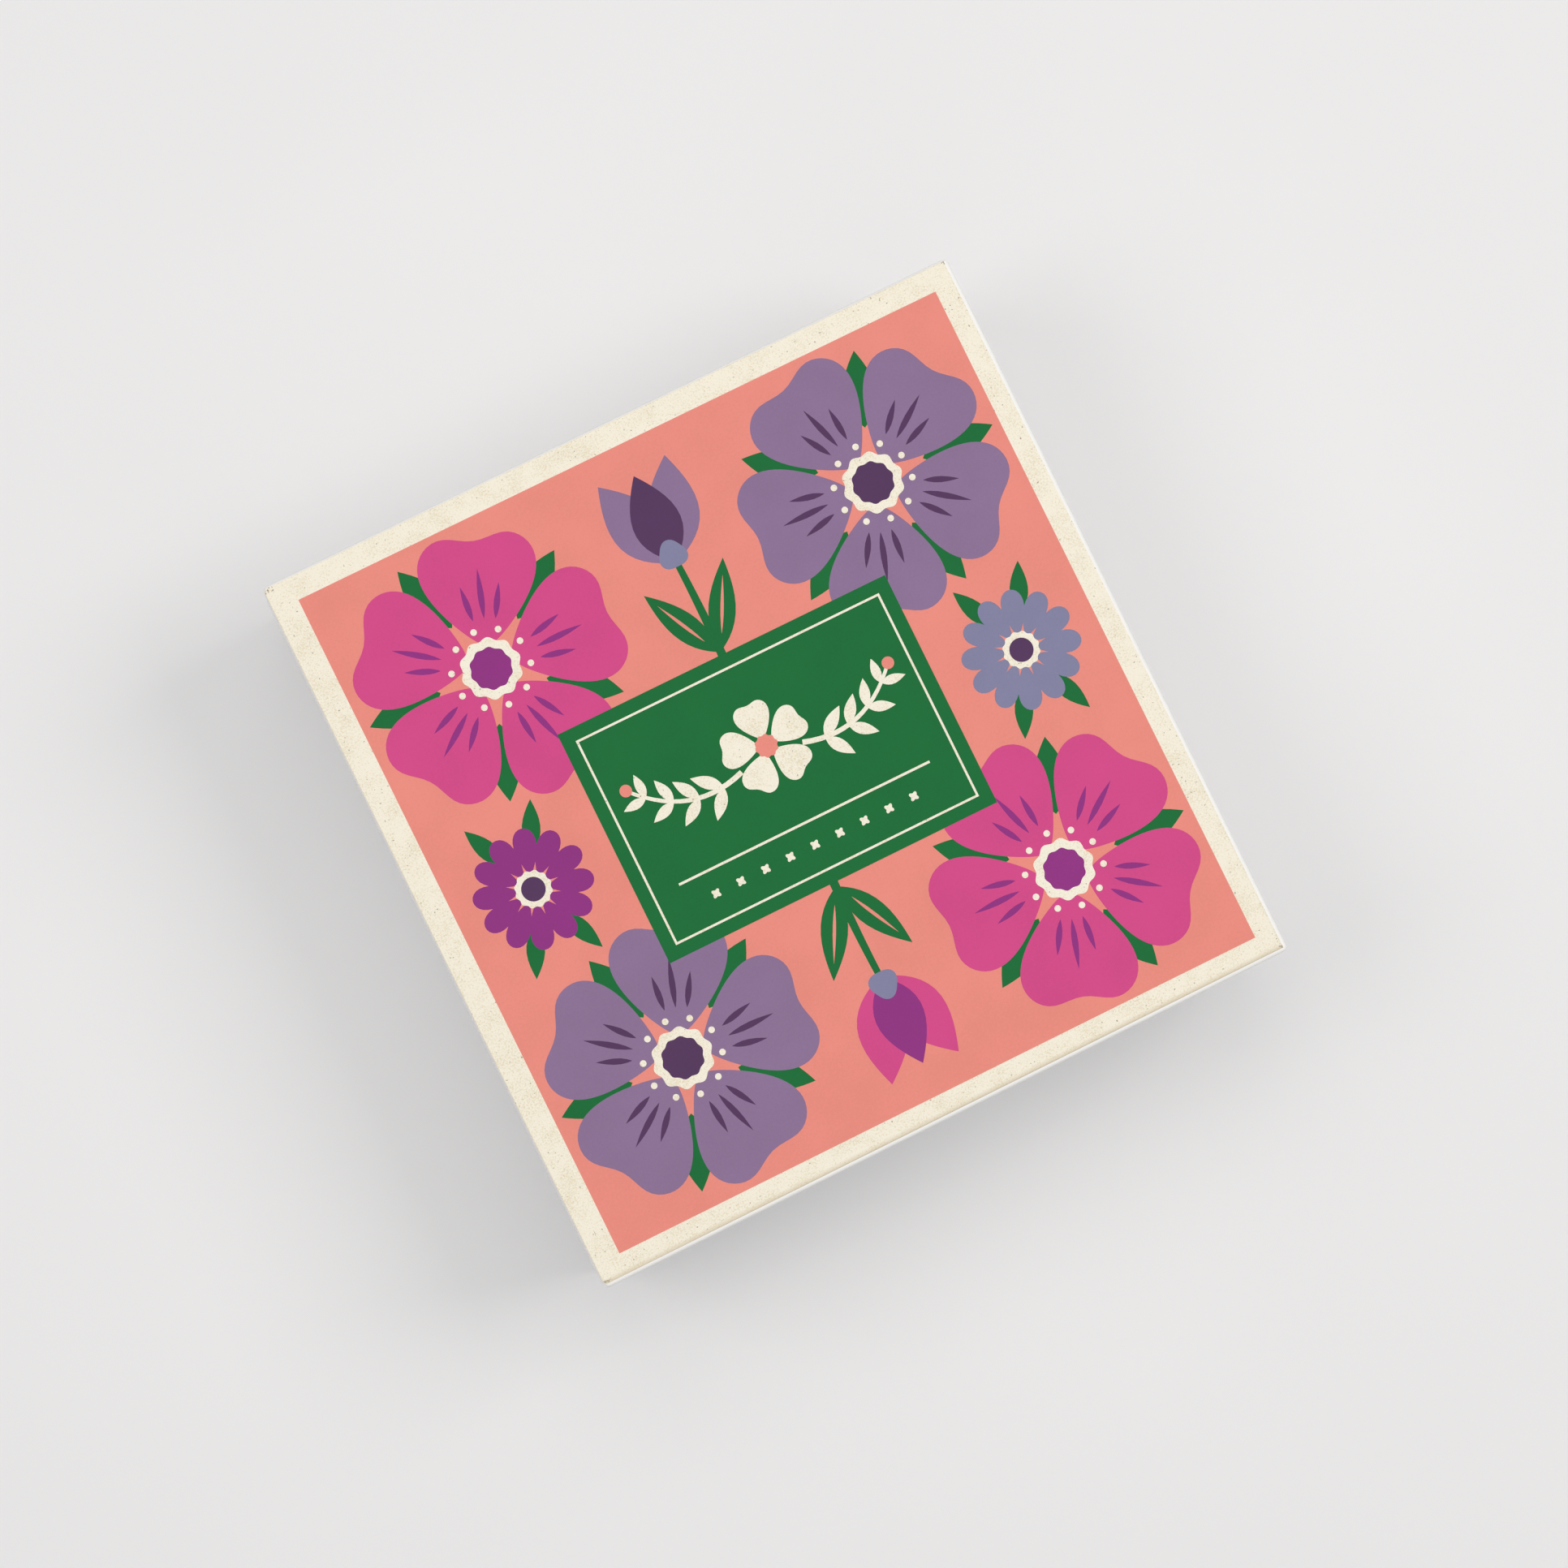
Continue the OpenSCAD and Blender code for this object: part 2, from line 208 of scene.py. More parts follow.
@dataclass(frozen=True)
class SpeckledStock:
    """Uncoated cream stock of recycled fibre: matt and warm, full of fine tan and grey-green specks.

    The specks gather in loose clumps, with a sparse dark fleck or hair between them. The corners are
    worn, and the lower and left rims are darkened with painted shade, as the sides turned away from the
    light.
    """

    name: str = "sheet"
    half_mm: Point = (89.0, 90.5)
    left_rim_mm: float = 89.92
    # Painted shade on the lower and left rims, which lie away from the light: each rim's width in millimetres
    # and share.
    left_painted_shade: Point = (0.2, 0.6)
    lower_painted_shade: Point = (1.3, 0.75)
    colour: str = "#F5EFDF"
    tan: str = "#DCC799"
    cool: str = "#D3CFBA"
    fleck: str = "#5F533F"
    worn: str = "#8E8473"
    # Colour of the painted shade on the lower and left rims.
    painted_rim_shade: str = "#CFC0A4"
    speck_mm: float = 0.42
    speck_range: Point = (0.67, 0.8)
    tan_share: float = 0.52
    cool_share: float = 0.3
    cool_shift_m: float = 0.31
    clump_mm: float = 4.5
    clump_gain: float = 0.3
    wear_mm: float = 0.7
    wear_reach_mm: float = 1.5
    wear_gain: float = 0.22
    wear_range: Point = (0.68, 0.74)
    wear_share: float = 0.85
    wander_mm: float = 1.1
    wander_by_mm: float = 0.8
    fleck_turn: float = 0.6
    fleck_share: float = 0.65
    fleck_cell_mm: float = 3.1
    fleck_r_mm: float = 0.2
    fleck_from: float = 0.74
    hair_cell_mm: float = 5.0
    hair_r_mm: float = 0.1
    hair_stretch: float = 9.0
    hair_from: float = 0.8
    tooth_mm: float = 0.4
    tooth_relief_mm: float = 0.04

    def base(self, s: Surface) -> bpy.types.Node:
        """Builds the paper's colour; each rim of painted shade is given by its width in millimetres and its
        share.

        Args:
            s: The material that it belongs to.

        Returns:
            The node that gives the colour.
        """
        clump = s.add("TexNoise", s.coords, Scale=per_metre(self.clump_mm), Detail=3.0)
        layers: list[tuple[object, str]] = []
        for shift, tint, amount in (
            (0.0, self.tan, self.tan_share),
            (self.cool_shift_m, self.cool, self.cool_share),
        ):
            moved = s.add("Mapping", s.coords, (shift, shift, 0.0))
            speck = s.add("TexNoise", moved, Scale=per_metre(self.speck_mm), Detail=3.0, Roughness=0.6)
            gathered = s.add("Math", clump, self.clump_gain, speck, operation="MULTIPLY_ADD")
            layers.append((s.add("MapRange", gathered, *self.speck_range, 0.0, amount), tint))
        wear = s.add("TexNoise", s.coords, Scale=per_metre(self.wear_mm), Detail=3.0)
        corner = near_corners(s, self.half_mm, self.wear_reach_mm)
        rubbed = s.add("Math", corner, self.wear_gain, wear, operation="MULTIPLY_ADD")
        layers.append((s.add("MapRange", rubbed, *self.wear_range, 0.0, self.wear_share), self.worn))
        # Painted shade: the left and lower rims darken towards their edges, as the sides turned away from the
        # light.
        place = s.add("SeparateXYZ", s.coords).outputs
        for axis, rim_mm, (width_mm, amount) in (
            ("X", self.left_rim_mm, self.left_painted_shade),
            ("Y", self.half_mm[1], self.lower_painted_shade),
        ):
            shade_share = s.add("MapRange", place[axis], (width_mm - rim_mm) * MM, -rim_mm * MM, 0.0, amount)
            layers.append((shade_share, self.painted_rim_shade))
        wander = s.add("TexNoise", s.coords, Scale=per_metre(self.wander_mm), Detail=2.0).outputs["Color"]
        by = (self.wander_by_mm * MM,) * 3
        bend = s.add("VectorMath", wander, by, s.coords, operation="MULTIPLY_ADD")
        for cell_mm, r_mm, stretch, threshold in (
            (self.fleck_cell_mm, self.fleck_r_mm, 1.0, self.fleck_from),
            (self.hair_cell_mm, self.hair_r_mm, self.hair_stretch, self.hair_from),
        ):
            radius = r_mm / cell_mm
            flat = (1.0, 1.0 / stretch, 1.0)
            turned = s.add("Mapping", bend, Rotation=(0.0, 0.0, self.fleck_turn), Scale=flat)
            cells = s.add("TexVoronoi", turned, Scale=per_metre(cell_mm), voronoi_dimensions="2D")
            near = s.add("MapRange", cells, radius, 0.5 * radius, 0.0, self.fleck_share)
            chosen = s.add("Math", cells.outputs["Color"], threshold, operation="GREATER_THAN")
            layers.append((s.add("Math", near, chosen, operation="MULTIPLY"), self.fleck))
        colour: object = linear(self.colour)
        for share, tint in layers:
            colour = s.add("Mix", share, colour, linear(tint), data_type="RGBA")
        return colour

    def tooth(self, s: Surface) -> bpy.types.Node:
        """Builds the paper's felt-like relief.

        Args:
            s: The material that it belongs to.

        Returns:
            The node that gives the normal.
        """
        grain = s.add("TexNoise", s.coords, Scale=per_metre(self.tooth_mm), Detail=4.0, Roughness=0.7)
        return s.add("Bump", Strength=0.35, Distance=self.tooth_relief_mm * MM, Height=grain)

    def material(self) -> bpy.types.Material:
        """Builds the unprinted stock.

        Returns:
            The finished material.
        """
        s = Surface(f"speckled_cream_stock_{self.name}")
        return s.dress(Base_Color=self.base(s), Normal=self.tooth(s), Roughness=0.86, Specular_IOR_Level=0.2)


@dataclass(frozen=True)
class PrintInk:
    """Litho ink on uncoated stock: flat, matt colour, faintly mottled where the paper drinks it in."""

    name: str
    colour: str
    stock: SpeckledStock = SpeckledStock()
    grain_mm: float = 0.6
    roller_mm: float = 14.0
    mottle_range: Point = (0.7, 1.3)
    mottle_tone: Point = (0.96, 1.04)

    def material(self) -> bpy.types.Material:
        """Builds the ink with a faint mottle.

        Returns:
            The finished material.
        """
        s = Surface(f"litho_ink_{self.name}")
        grain = s.add("TexNoise", s.coords, Scale=per_metre(self.grain_mm), Detail=4.0, Roughness=0.7)
        roller = s.add("TexNoise", s.coords, Scale=per_metre(self.roller_mm), Detail=2.0)
        both = s.add("Math", grain, roller, operation="ADD")
        tone = s.add("MapRange", both, *self.mottle_range, *self.mottle_tone)
        colour = s.add("Mix", 1.0, linear(self.colour), tone, data_type="RGBA", blend_type="MULTIPLY")
        return s.dress(Base_Color=colour, Normal=self.stock.tooth(s), Roughness=0.78, Specular_IOR_Level=0.12)


@dataclass(frozen=True)
class GreyBoard:
    """Recycled grey board, bare inside the box: dull grey-brown pulp with light and dark fibres."""

    light: str = "#C6C1B8"
    dark: str = "#A9A398"
    fibre: str = "#E2DED5"
    pulp_mm: float = 1.6
    pulp_range: Point = (0.35, 0.65)
    relief_mm: float = 0.08
    hair_mm: float = 0.8
    hair_range: Point = (0.64, 0.72)
    hair_share: float = 0.8

    def material(self) -> bpy.types.Material:
        """Builds the board's pulp.

        Returns:
            The finished material.
        """
        s = Surface("recycled_grey_board")
        pulp = s.add("TexNoise", s.coords, Scale=per_metre(self.pulp_mm), Detail=7.0, Roughness=0.8)
        share = s.add("MapRange", pulp, *self.pulp_range)
        hairs = s.add("TexNoise", s.coords, Scale=per_metre(self.hair_mm), Detail=3.0, Distortion=4.0)
        pale = s.add("MapRange", hairs, *self.hair_range, 0.0, self.hair_share)
        mixed = s.add("Mix", share, linear(self.dark), linear(self.light), data_type="RGBA")
        colour = s.add("Mix", pale, mixed, linear(self.fibre), data_type="RGBA")
        bump = s.add("Bump", Strength=0.5, Distance=self.relief_mm * MM, Height=pulp)
        return s.dress(Base_Color=colour, Normal=bump, Roughness=0.93, Specular_IOR_Level=0.2)


@dataclass(frozen=True)
class BirchPly:
    """Sanded birch plywood: pale silky faces, and edges of plies that turn from long to end grain."""

    bottom_mm: float
    thickness_mm: float
    plies: int = 7
    light: str = "#EACFA2"
    dark: str = "#D3AC76"
    end: str = "#A97F4E"
    glue: str = "#6E4F30"
    across_mm: float = 1.5
    along_mm: float = 42.0
    ply_shift_m: float = 0.37
    end_range: Point = (0.3, 1.0)
    end_share: float = 0.75
    line_range: Point = (0.06, 0.02)
    line_share: float = 0.7
    edge_range: Point = (0.9, 0.6)
    relief_mm: float = 0.08

    def material(self) -> bpy.types.Material:
        """Builds the plies as they lie in the solid board, so that every cut shows them rightly.

        Returns:
            The finished material.
        """
        s = Surface("sanded_birch_plywood")
        place = s.add("SeparateXYZ", s.coords).outputs
        normal = s.add("TexCoord").outputs["Normal"]
        facing = s.add("SeparateXYZ", s.add("VectorMath", normal, operation="ABSOLUTE")).outputs
        level = s.add("Math", place["Z"], self.bottom_mm * MM, operation="SUBTRACT")
        index = s.add("Math", level, self.thickness_mm / self.plies * MM, operation="DIVIDE")
        whole = s.add("Math", index, operation="FLOOR")
        half = s.add("Math", whole, 0.5, operation="MULTIPLY")
        odd = s.add("Math", half, operation="FRACT")
        crosswise = s.add("Math", odd, 0.25, operation="GREATER_THAN")
        shift = s.add("Math", whole, self.ply_shift_m, operation="MULTIPLY")
        moved = s.add("VectorMath", s.coords, s.add("CombineXYZ", shift, shift), operation="ADD")
        across, along = per_metre(self.across_mm), per_metre(self.along_mm)
        grains: list[bpy.types.Node] = []
        for stretch in ((across, along, across), (along, across, across)):
            turned = s.add("Mapping", moved, Scale=stretch)
            grains.append(s.add("TexNoise", turned, Scale=1.0, Detail=6.0, Roughness=0.62, Distortion=0.5))
        grain = s.add("Mix", crosswise, *grains)
        end_on = s.add("Mix", crosswise, facing["Y"], facing["X"])
        streaked = s.add("MapRange", grain, *MIDDLE)
        colour = s.add("Mix", streaked, linear(self.dark), linear(self.light), data_type="RGBA")
        ended = s.add("MapRange", end_on, *self.end_range, 0.0, self.end_share)
        colour = s.add("Mix", ended, colour, linear(self.end), data_type="RGBA")
        step = s.add("Math", index, 0.5, operation="PINGPONG")
        line = s.add("MapRange", step, *self.line_range, 0.0, self.line_share)
        on_edge = s.add("MapRange", facing["Z"], *self.edge_range)
        glued = s.add("Math", line, on_edge, operation="MULTIPLY")
        colour = s.add("Mix", glued, colour, linear(self.glue), data_type="RGBA")
        bump = s.add("Bump", Strength=0.3, Distance=self.relief_mm * MM, Height=grain)
        return s.dress(Base_Color=colour, Normal=bump, Roughness=0.52, Specular_IOR_Level=0.35)


@dataclass(frozen=True)
class ZincPlate:
    """Bright zinc plating on steel: cool, silvery and a little cloudy, with fine tumbling marks."""

    colour: str = "#C9CDD2"
    shade: str = "#A9AFB8"
    cloud_mm: float = 2.2
    cloud_range: Point = (0.35, 0.7)
    gloss: Point = (0.22, 0.42)
    mark_mm: float = 0.35
    relief_mm: float = 0.03

    def material(self) -> bpy.types.Material:
        """Builds the plating.

        Returns:
            The finished material.
        """
        s = Surface("bright_zinc_plated_steel")
        cloud = s.add("TexNoise", s.coords, Scale=per_metre(self.cloud_mm), Detail=5.0, Roughness=0.65)
        share = s.add("MapRange", cloud, *self.cloud_range)
        colour = s.add("Mix", share, linear(self.colour), linear(self.shade), data_type="RGBA")
        marks = s.add("TexNoise", s.coords, Scale=per_metre(self.mark_mm), Detail=3.0, Distortion=2.0)
        gloss = s.add("MapRange", cloud, *WHOLE, *self.gloss)
        bump = s.add("Bump", Strength=0.2, Distance=self.relief_mm * MM, Height=marks)
        return s.dress(Base_Color=colour, Metallic=1.0, Roughness=gloss, Normal=bump)


@dataclass(frozen=True)
class KraftCard:
    """Brown kraft corrugated card: dull, fibrous liners on which the flutes show as faint ribs."""

    light: str = "#C39A69"
    dark: str = "#A77D4E"
    across_mm: float = 1.0
    along_mm: float = 3.0
    flute_mm: float = 6.4
    rib_share: float = 0.14
    relief_mm: float = 0.12

    def material(self) -> bpy.types.Material:
        """Builds the card with its fibres and ribs; a wave repeats 20 times in a full turn of scale.

        Returns:
            The finished material.
        """
        s = Surface("brown_kraft_corrugated_card")
        across, along = per_metre(self.across_mm), per_metre(self.along_mm)
        stretched = s.add("Mapping", s.coords, Scale=(across, along, across))
        fibre = s.add("TexNoise", stretched, Scale=1.0, Detail=8.0, Roughness=0.75)
        wave = s.add("TexWave", s.coords, FULL_TURN / 20.0 * per_metre(self.flute_mm))
        share = s.add("MapRange", fibre, *MIDDLE)
        ribbed = s.add("Math", wave.outputs["Fac"], self.rib_share, share, operation="MULTIPLY_ADD")
        colour = s.add("Mix", ribbed, linear(self.dark), linear(self.light), data_type="RGBA")
        bump = s.add("Bump", Strength=0.35, Distance=self.relief_mm * MM, Height=ribbed)
        return s.dress(Base_Color=colour, Normal=bump, Roughness=0.88, Specular_IOR_Level=0.25)


@dataclass(frozen=True)
class SoftPaper:
    """Thick uncoated paper, such as blotting paper: soft white, with a felted, fibrous face."""

    name: str
    light: str
    dark: str
    felt_mm: float
    felt_range: Point = (0.3, 0.65)
    relief_mm: float = 0.06

    def material(self) -> bpy.types.Material:
        """Builds the felted paper.

        Returns:
            The finished material.
        """
        s = Surface(self.name)
        felt = s.add("TexNoise", s.coords, Scale=per_metre(self.felt_mm), Detail=6.0, Roughness=0.75)
        share = s.add("MapRange", felt, *self.felt_range)
        colour = s.add("Mix", share, linear(self.dark), linear(self.light), data_type="RGBA")
        bump = s.add("Bump", Strength=0.5, Distance=self.relief_mm * MM, Height=felt)
        return s.dress(Base_Color=colour, Normal=bump, Roughness=0.95, Specular_IOR_Level=0.15)


@dataclass(frozen=True)
class PaintedTable:
    """Matt white-painted tabletop under the box: even and pale, so that the soft shadow shows."""

    colour: str = "#EAEAEC"
    cloud_mm: float = 90.0
    cloud_tone: Point = (0.985, 1.015)

    def material(self) -> bpy.types.Material:
        """Builds the paint with a very faint cloud.

        Returns:
            The finished material.
        """
        s = Surface("matt_white_tabletop")
        cloud = s.add("TexNoise", s.coords, Scale=per_metre(self.cloud_mm), Detail=2.0)
        tone = s.add("MapRange", cloud, *WHOLE, *self.cloud_tone)
        colour = s.add("Mix", 1.0, linear(self.colour), tone, data_type="RGBA", blend_type="MULTIPLY")
        return s.dress(Base_Color=colour, Roughness=0.85, Specular_IOR_Level=0.2)


# Solids, each shaped at the origin


def rise(edge: bmesh.types.BMEdge) -> float:
    """Difference in height between an edge's two ends."""
    return abs(edge.verts[0].co.z - edge.verts[1].co.z)


def new_verts(made: Mapping[str, Sequence[object]]) -> list[bmesh.types.BMVert]:
    """The vertices among what an extrusion made."""
    return [item for item in made["geom"] if isinstance(item, bmesh.types.BMVert)]


def soften(
    solid: bmesh.types.BMesh, edges: Sequence[bmesh.types.BMEdge], width_mm: float, segments: int
) -> None:
    """Bevels some of a solid's edges.

    Args:
        solid: The solid.
        edges: Its edges that are bevelled.
        width_mm: How far the bevel reaches from the edge.
        segments: Straight runs across it.
    """
    bmesh.ops.bevel(
        solid, geom=edges, offset=width_mm * MM, segments=segments, profile=0.5, affect="EDGES", material=-1
    )


def block(size: Vector, centre: Vector = Vector((0.0, 0.0, 0.0))) -> bmesh.types.BMesh:
    """Makes a sharp-edged block.

    Args:
        size: Its three sides, in metres.
        centre: Where its middle lies.

    Returns:
        The closed solid.
    """
    solid = bmesh.new()
    bmesh.ops.create_cube(solid, size=1.0)
    bmesh.ops.scale(solid, vec=size, verts=solid.verts)
    bmesh.ops.translate(solid, vec=centre, verts=solid.verts)
    return solid


def lathe(profile_mm: Sequence[Point], steps: int, closed: bool = False) -> bmesh.types.BMesh:
    """Turns a profile round the Z axis.

    Args:
        profile_mm: Radius and height of each point, from one pole to the other, or round a ring.
        steps: Straight runs in the full turn.
        closed: True where the profile's last point joins its first.

    Returns:
        The closed solid.
    """
    solid = bmesh.new()
    verts = [solid.verts.new((r * MM, 0.0, z * MM)) for r, z in profile_mm]
    ends = verts[1:] + (verts[:1] if closed else [])
    edges = [solid.edges.new(run) for run in zip(verts, ends)]
    bmesh.ops.spin(
        solid, geom=verts + edges, axis=(0.0, 0.0, 1.0), angle=FULL_TURN, steps=steps, use_merge=True
    )
    bmesh.ops.remove_doubles(solid, verts=solid.verts, dist=MERGE_M)
    return solid


def thicken(solid: bmesh.types.BMesh, depth_mm: float) -> None:
    """Extrudes all of a flat sheet's faces downwards into a closed solid.

    Args:
        solid: The flat sheet.
        depth_mm: How far down it goes.
    """
    made = bmesh.ops.extrude_face_region(solid, geom=solid.faces[:])
    bmesh.ops.translate(solid, vec=(0.0, 0.0, -depth_mm * MM), verts=new_verts(made))


def plate(outline: Outline, segments: int) -> bmesh.types.BMesh:
    """Makes one flat face at height zero.

    Args:
        outline: Gives the edge's point in millimetres at each angle of a full turn.
        segments: Straight runs round the edge.

    Returns:
        The flat sheet.
    """
    sheet = bmesh.new()
    bmesh.ops.create_circle(sheet, cap_ends=True, segments=segments, radius=1.0)
    for vert in sheet.verts:
        x, y = outline(math.atan2(vert.co.y, vert.co.x))
        vert.co = Vector((x, y, 0.0)) * MM
    return sheet


def bent(points: Curve, t: float) -> tuple[Vector, Vector]:
    """Place and heading at a share of the way along a bent line.

    Args:
        points: Where it starts, the point that it bends towards, and where it ends.
        t: The share of the way.

    Returns:
        The place and the heading, in the points' units.
    """
    start, bend, end = (Vector(point) for point in points)
    near, far = start.lerp(bend, t), bend.lerp(end, t)
    return near.lerp(far, t), far - near


def ribbon(points: Curve, widths: Point, runs: int = 14) -> bmesh.types.BMesh:
    """Makes a curved flat ribbon at height zero that narrows along its length.

    Args:
        points: Its bent middle line, in millimetres.
        widths: Its widths at both ends.
        runs: Straight runs along it.

    Returns:
        The flat sheet.
    """
    sheet = bmesh.new()
    bmesh.ops.create_grid(sheet, x_segments=runs, y_segments=1, size=1.0)
    for vert in sheet.verts:
        t = (vert.co.x + 1.0) / 2.0
        place, heading = bent(points, t)
        across = Vector((-heading.y, heading.x)).normalized()
        width = widths[0] * (1.0 - t) + widths[1] * t
        vert.co = ((place + across * vert.co.y * width / 2.0) * MM).to_3d()
    return sheet


def helix(profile_mm: Sequence[Point], pitch_mm: float, turns: int, steps: int = 20) -> bmesh.types.BMesh:
    """Sweeps a small profile along a screw line round the Z axis.

    Args:
        profile_mm: Radius and height of each corner of the profile.
        pitch_mm: Rise in one turn.
        turns: Number of turns.
        steps: Straight runs in one turn.

    Returns:
        The closed solid.
    """
    solid = bmesh.new()
    face = solid.faces.new([solid.verts.new((r * MM, 0.0, z * MM)) for r, z in profile_mm])
    bmesh.ops.spin(
        solid,
        geom=[face, *face.edges, *face.verts],
        axis=(0.0, 0.0, 1.0),
        dvec=(0.0, 0.0, pitch_mm * MM / steps),
        angle=FULL_TURN * turns,
        steps=steps * turns,
    )
    return solid


def put(name: str, data: bpy.types.ID) -> bpy.types.Object:
    """Puts a mesh, lamp or camera into the scene, at the origin.

    Args:
        name: The object's name.
        data: Its mesh, lamp or camera.

    Returns:
        The object.
    """
    thing = bpy.data.objects.new(name, data)
    bpy.context.scene.collection.objects.link(thing)
    return thing


class Piece:
    """Mesh of one visible piece, put together from closed solids."""

    def __init__(self, name: str) -> None:
        """Starts an empty piece of that name."""
        self.name = name
        self.bm = bmesh.new()

    def take(self, solid: bmesh.types.BMesh, place: Matrix = Matrix()) -> None:
        """Adds a solid at its place and frees it.

        Args:
            solid: The solid, shaped at the origin.
            place: Where it goes.
        """
        solid.transform(place)
        scratch = bpy.data.meshes.new("scratch")
        solid.to_mesh(scratch)
        solid.free()
        self.bm.from_mesh(scratch)
        bpy.data.meshes.remove(scratch)

    def mesh(self) -> bpy.types.Mesh:
        """Closes the piece and gives its mesh, whose faces point outwards.

        Returns:
            The mesh.
        """
        bmesh.ops.recalc_face_normals(self.bm, faces=self.bm.faces)
        mesh = bpy.data.meshes.new(self.name)
        self.bm.to_mesh(mesh)
        self.bm.free()
        return mesh

    def finish(
        self,
        material: bpy.types.Material,
        body: str,
        slot: str,
        replaces: Sequence[str] = (),
        smooth_deg: float = 40.0,
    ) -> None:
        """Turns the mesh into a finished object that rides on a body.

        Args:
            material: Its finish.
            body: The CAD body that it moves with.
            slot: The record's material slot; not used.
            replaces: CAD nodes that it stands for.
            smooth_deg: Edges sharper than this stay sharp.
        """
        mesh = self.mesh()
        mesh.shade_smooth()
        mesh.set_sharp_from_angle(angle=math.radians(smooth_deg))
        mesh.materials.append(material)
        piece = put(self.name, mesh)
        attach(piece, body)
        if replaces:
            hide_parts(*replaces)
        LOG.info("%s: %d faces on %s", self.name, len(mesh.polygons), body)


# The box


class Opening(Enum):
    """Which way a part of the box is open."""

    UP = 1.0
    DOWN = -1.0


@dataclass
class BoxShell:
    """Tray or lid: a grey board shell, wrapped in paper that is turned in over the rim."""

    node: str
    body: str
    slot: str
    opening: Opening
    board_mm: float = 1.5
    paper_mm: float = 0.14
    corner_r_mm: float = 1.2
    edge_r_mm: float = 0.9
    rim_r_mm: float = 0.3
    turn_in_mm: float = 14.0
    seam_mm: float = 2.4
    seam_width_mm: float = 0.22
    seam_depth_mm: float = 0.14

    def _stand(self) -> Matrix:
        """Places a shell that is modelled open side down, with its rim at height zero.

        Returns:
            The flip, if any, and the move up to its place.
        """
        low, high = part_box(self.node)
        rim = high.z if self.opening is Opening.UP else low.z
        turn = Matrix.Diagonal((1.0, 1.0, -self.opening.value, 1.0))
        return Matrix.Translation((0.0, 0.0, rim)) @ turn

    def _shell(self, inset_mm: float, inner_mm: float, turn_mm: float) -> bmesh.types.BMesh:
        """Shapes the outside, the rim and the inner wall as one open skin.

        Args:
            inset_mm: How far the outside lies within the CAD's.
            inner_mm: Distance from the CAD's outside to the inner wall.
            turn_mm: Height that the inner wall reaches above the rim.

        Returns:
            The skin, whose last edge loop is still open.
        """
        low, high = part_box(self.node)
        inset = inset_mm * MM
        size = high - low - Vector((inset, inset, inset)) * 2.0
        skin = block(size, Vector((0.0, 0.0, size.z / 2.0)))
        soften(skin, [e for e in skin.edges if rise(e) > size.z / 2.0], self.corner_r_mm, 5)
        crown = [e for e in skin.edges if min(v.co.z for v in e.verts) > size.z - NEAR_M]
        soften(skin, crown, self.edge_r_mm, 5)
        mouth = [f for f in skin.faces if max(v.co.z for v in f.verts) < NEAR_M]
        bmesh.ops.delete(skin, geom=mouth, context="FACES_ONLY")
        for up, inward in ((0.0, inner_mm * MM - inset), (turn_mm * MM, 0.0)):
            rim = [e for e in skin.edges if e.is_boundary]
            for vert in new_verts(bmesh.ops.extrude_edge_only(skin, edges=rim)):
                vert.co.x -= math.copysign(inward, vert.co.x)
                vert.co.y -= math.copysign(inward, vert.co.y)
                vert.co.z += up
        return skin

    def _seams(self, skin: bmesh.types.BMesh) -> None:
        """Presses in the lines where the long sides' paper goes under that of the short sides.

        Args:
            skin: The paper's skin.
        """
        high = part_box(self.node)[1]
        width = self.seam_width_mm * MM
        for side in SIDES:
            seam = side * (high.x - self.seam_mm * MM)
            for offset in (-width, 0.0, width):
                bmesh.ops.bisect_plane(
                    skin,
                    geom=skin.verts[:] + skin.edges[:] + skin.faces[:],
                    dist=MERGE_M,
                    plane_co=(seam + offset, 0.0, 0.0),
                    plane_no=(1.0, 0.0, 0.0),
                )
            for vert in skin.verts:
                if abs(vert.co.y) > high.y - NEAR_M and abs(vert.co.x - seam) < NEAR_M:
                    vert.co.y -= math.copysign(self.seam_depth_mm * MM, vert.co.y)

    def build(self, paper: bpy.types.Material, board: bpy.types.Material) -> None:
        """Builds the wrap and the board under it.

        Args:
            paper: The wrap's finish.
            board: The board's finish.
        """
        skin = self._shell(0.0, self.board_mm, self.turn_in_mm)
        skin.normal_update()
        foot = [e for e in skin.edges if max(v.co.z for v in e.verts) < NEAR_M]
        soften(skin, [e for e in foot if any(abs(f.normal.z) < 0.5 for f in e.link_faces)], self.rim_r_mm, 3)
        self._seams(skin)
        bmesh.ops.recalc_face_normals(skin, faces=skin.faces)
        bmesh.ops.solidify(skin, geom=skin.faces[:], thickness=self.paper_mm * MM)
        wrap = Piece(f"{self.node}_wrap")
        wrap.take(skin, self._stand())
        wrap.finish(paper, self.body, self.slot, (self.node,))
        low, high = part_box(self.node)
        depth = (high.z - low.z) / MM - self.board_mm - self.paper_mm
        core = self._shell(self.paper_mm, self.board_mm - self.paper_mm, depth)
        bmesh.ops.contextual_create(core, geom=[e for e in core.edges if e.is_boundary])
        bmesh.ops.translate(core, vec=(0.0, 0.0, self.paper_mm * MM), verts=core.verts)
        grey = Piece(f"{self.node}_board")
        grey.take(core, self._stand())
        grey.finish(board, self.body, self.slot)


# The printed cover sheet


class Ink(Enum):
    """Inks of the cover sheet; CREAM is the stock left bare inside the print."""

    SALMON = "#E98E82"
    MAGENTA = "#D24D8A"
    MAUVE = "#8C7397"
    PLUM = "#573B60"
    VIOLET = "#903784"
    SLATE = "#8383A3"
    GREEN = "#1F6E3B"
    CREAM = "#F2EBDA"


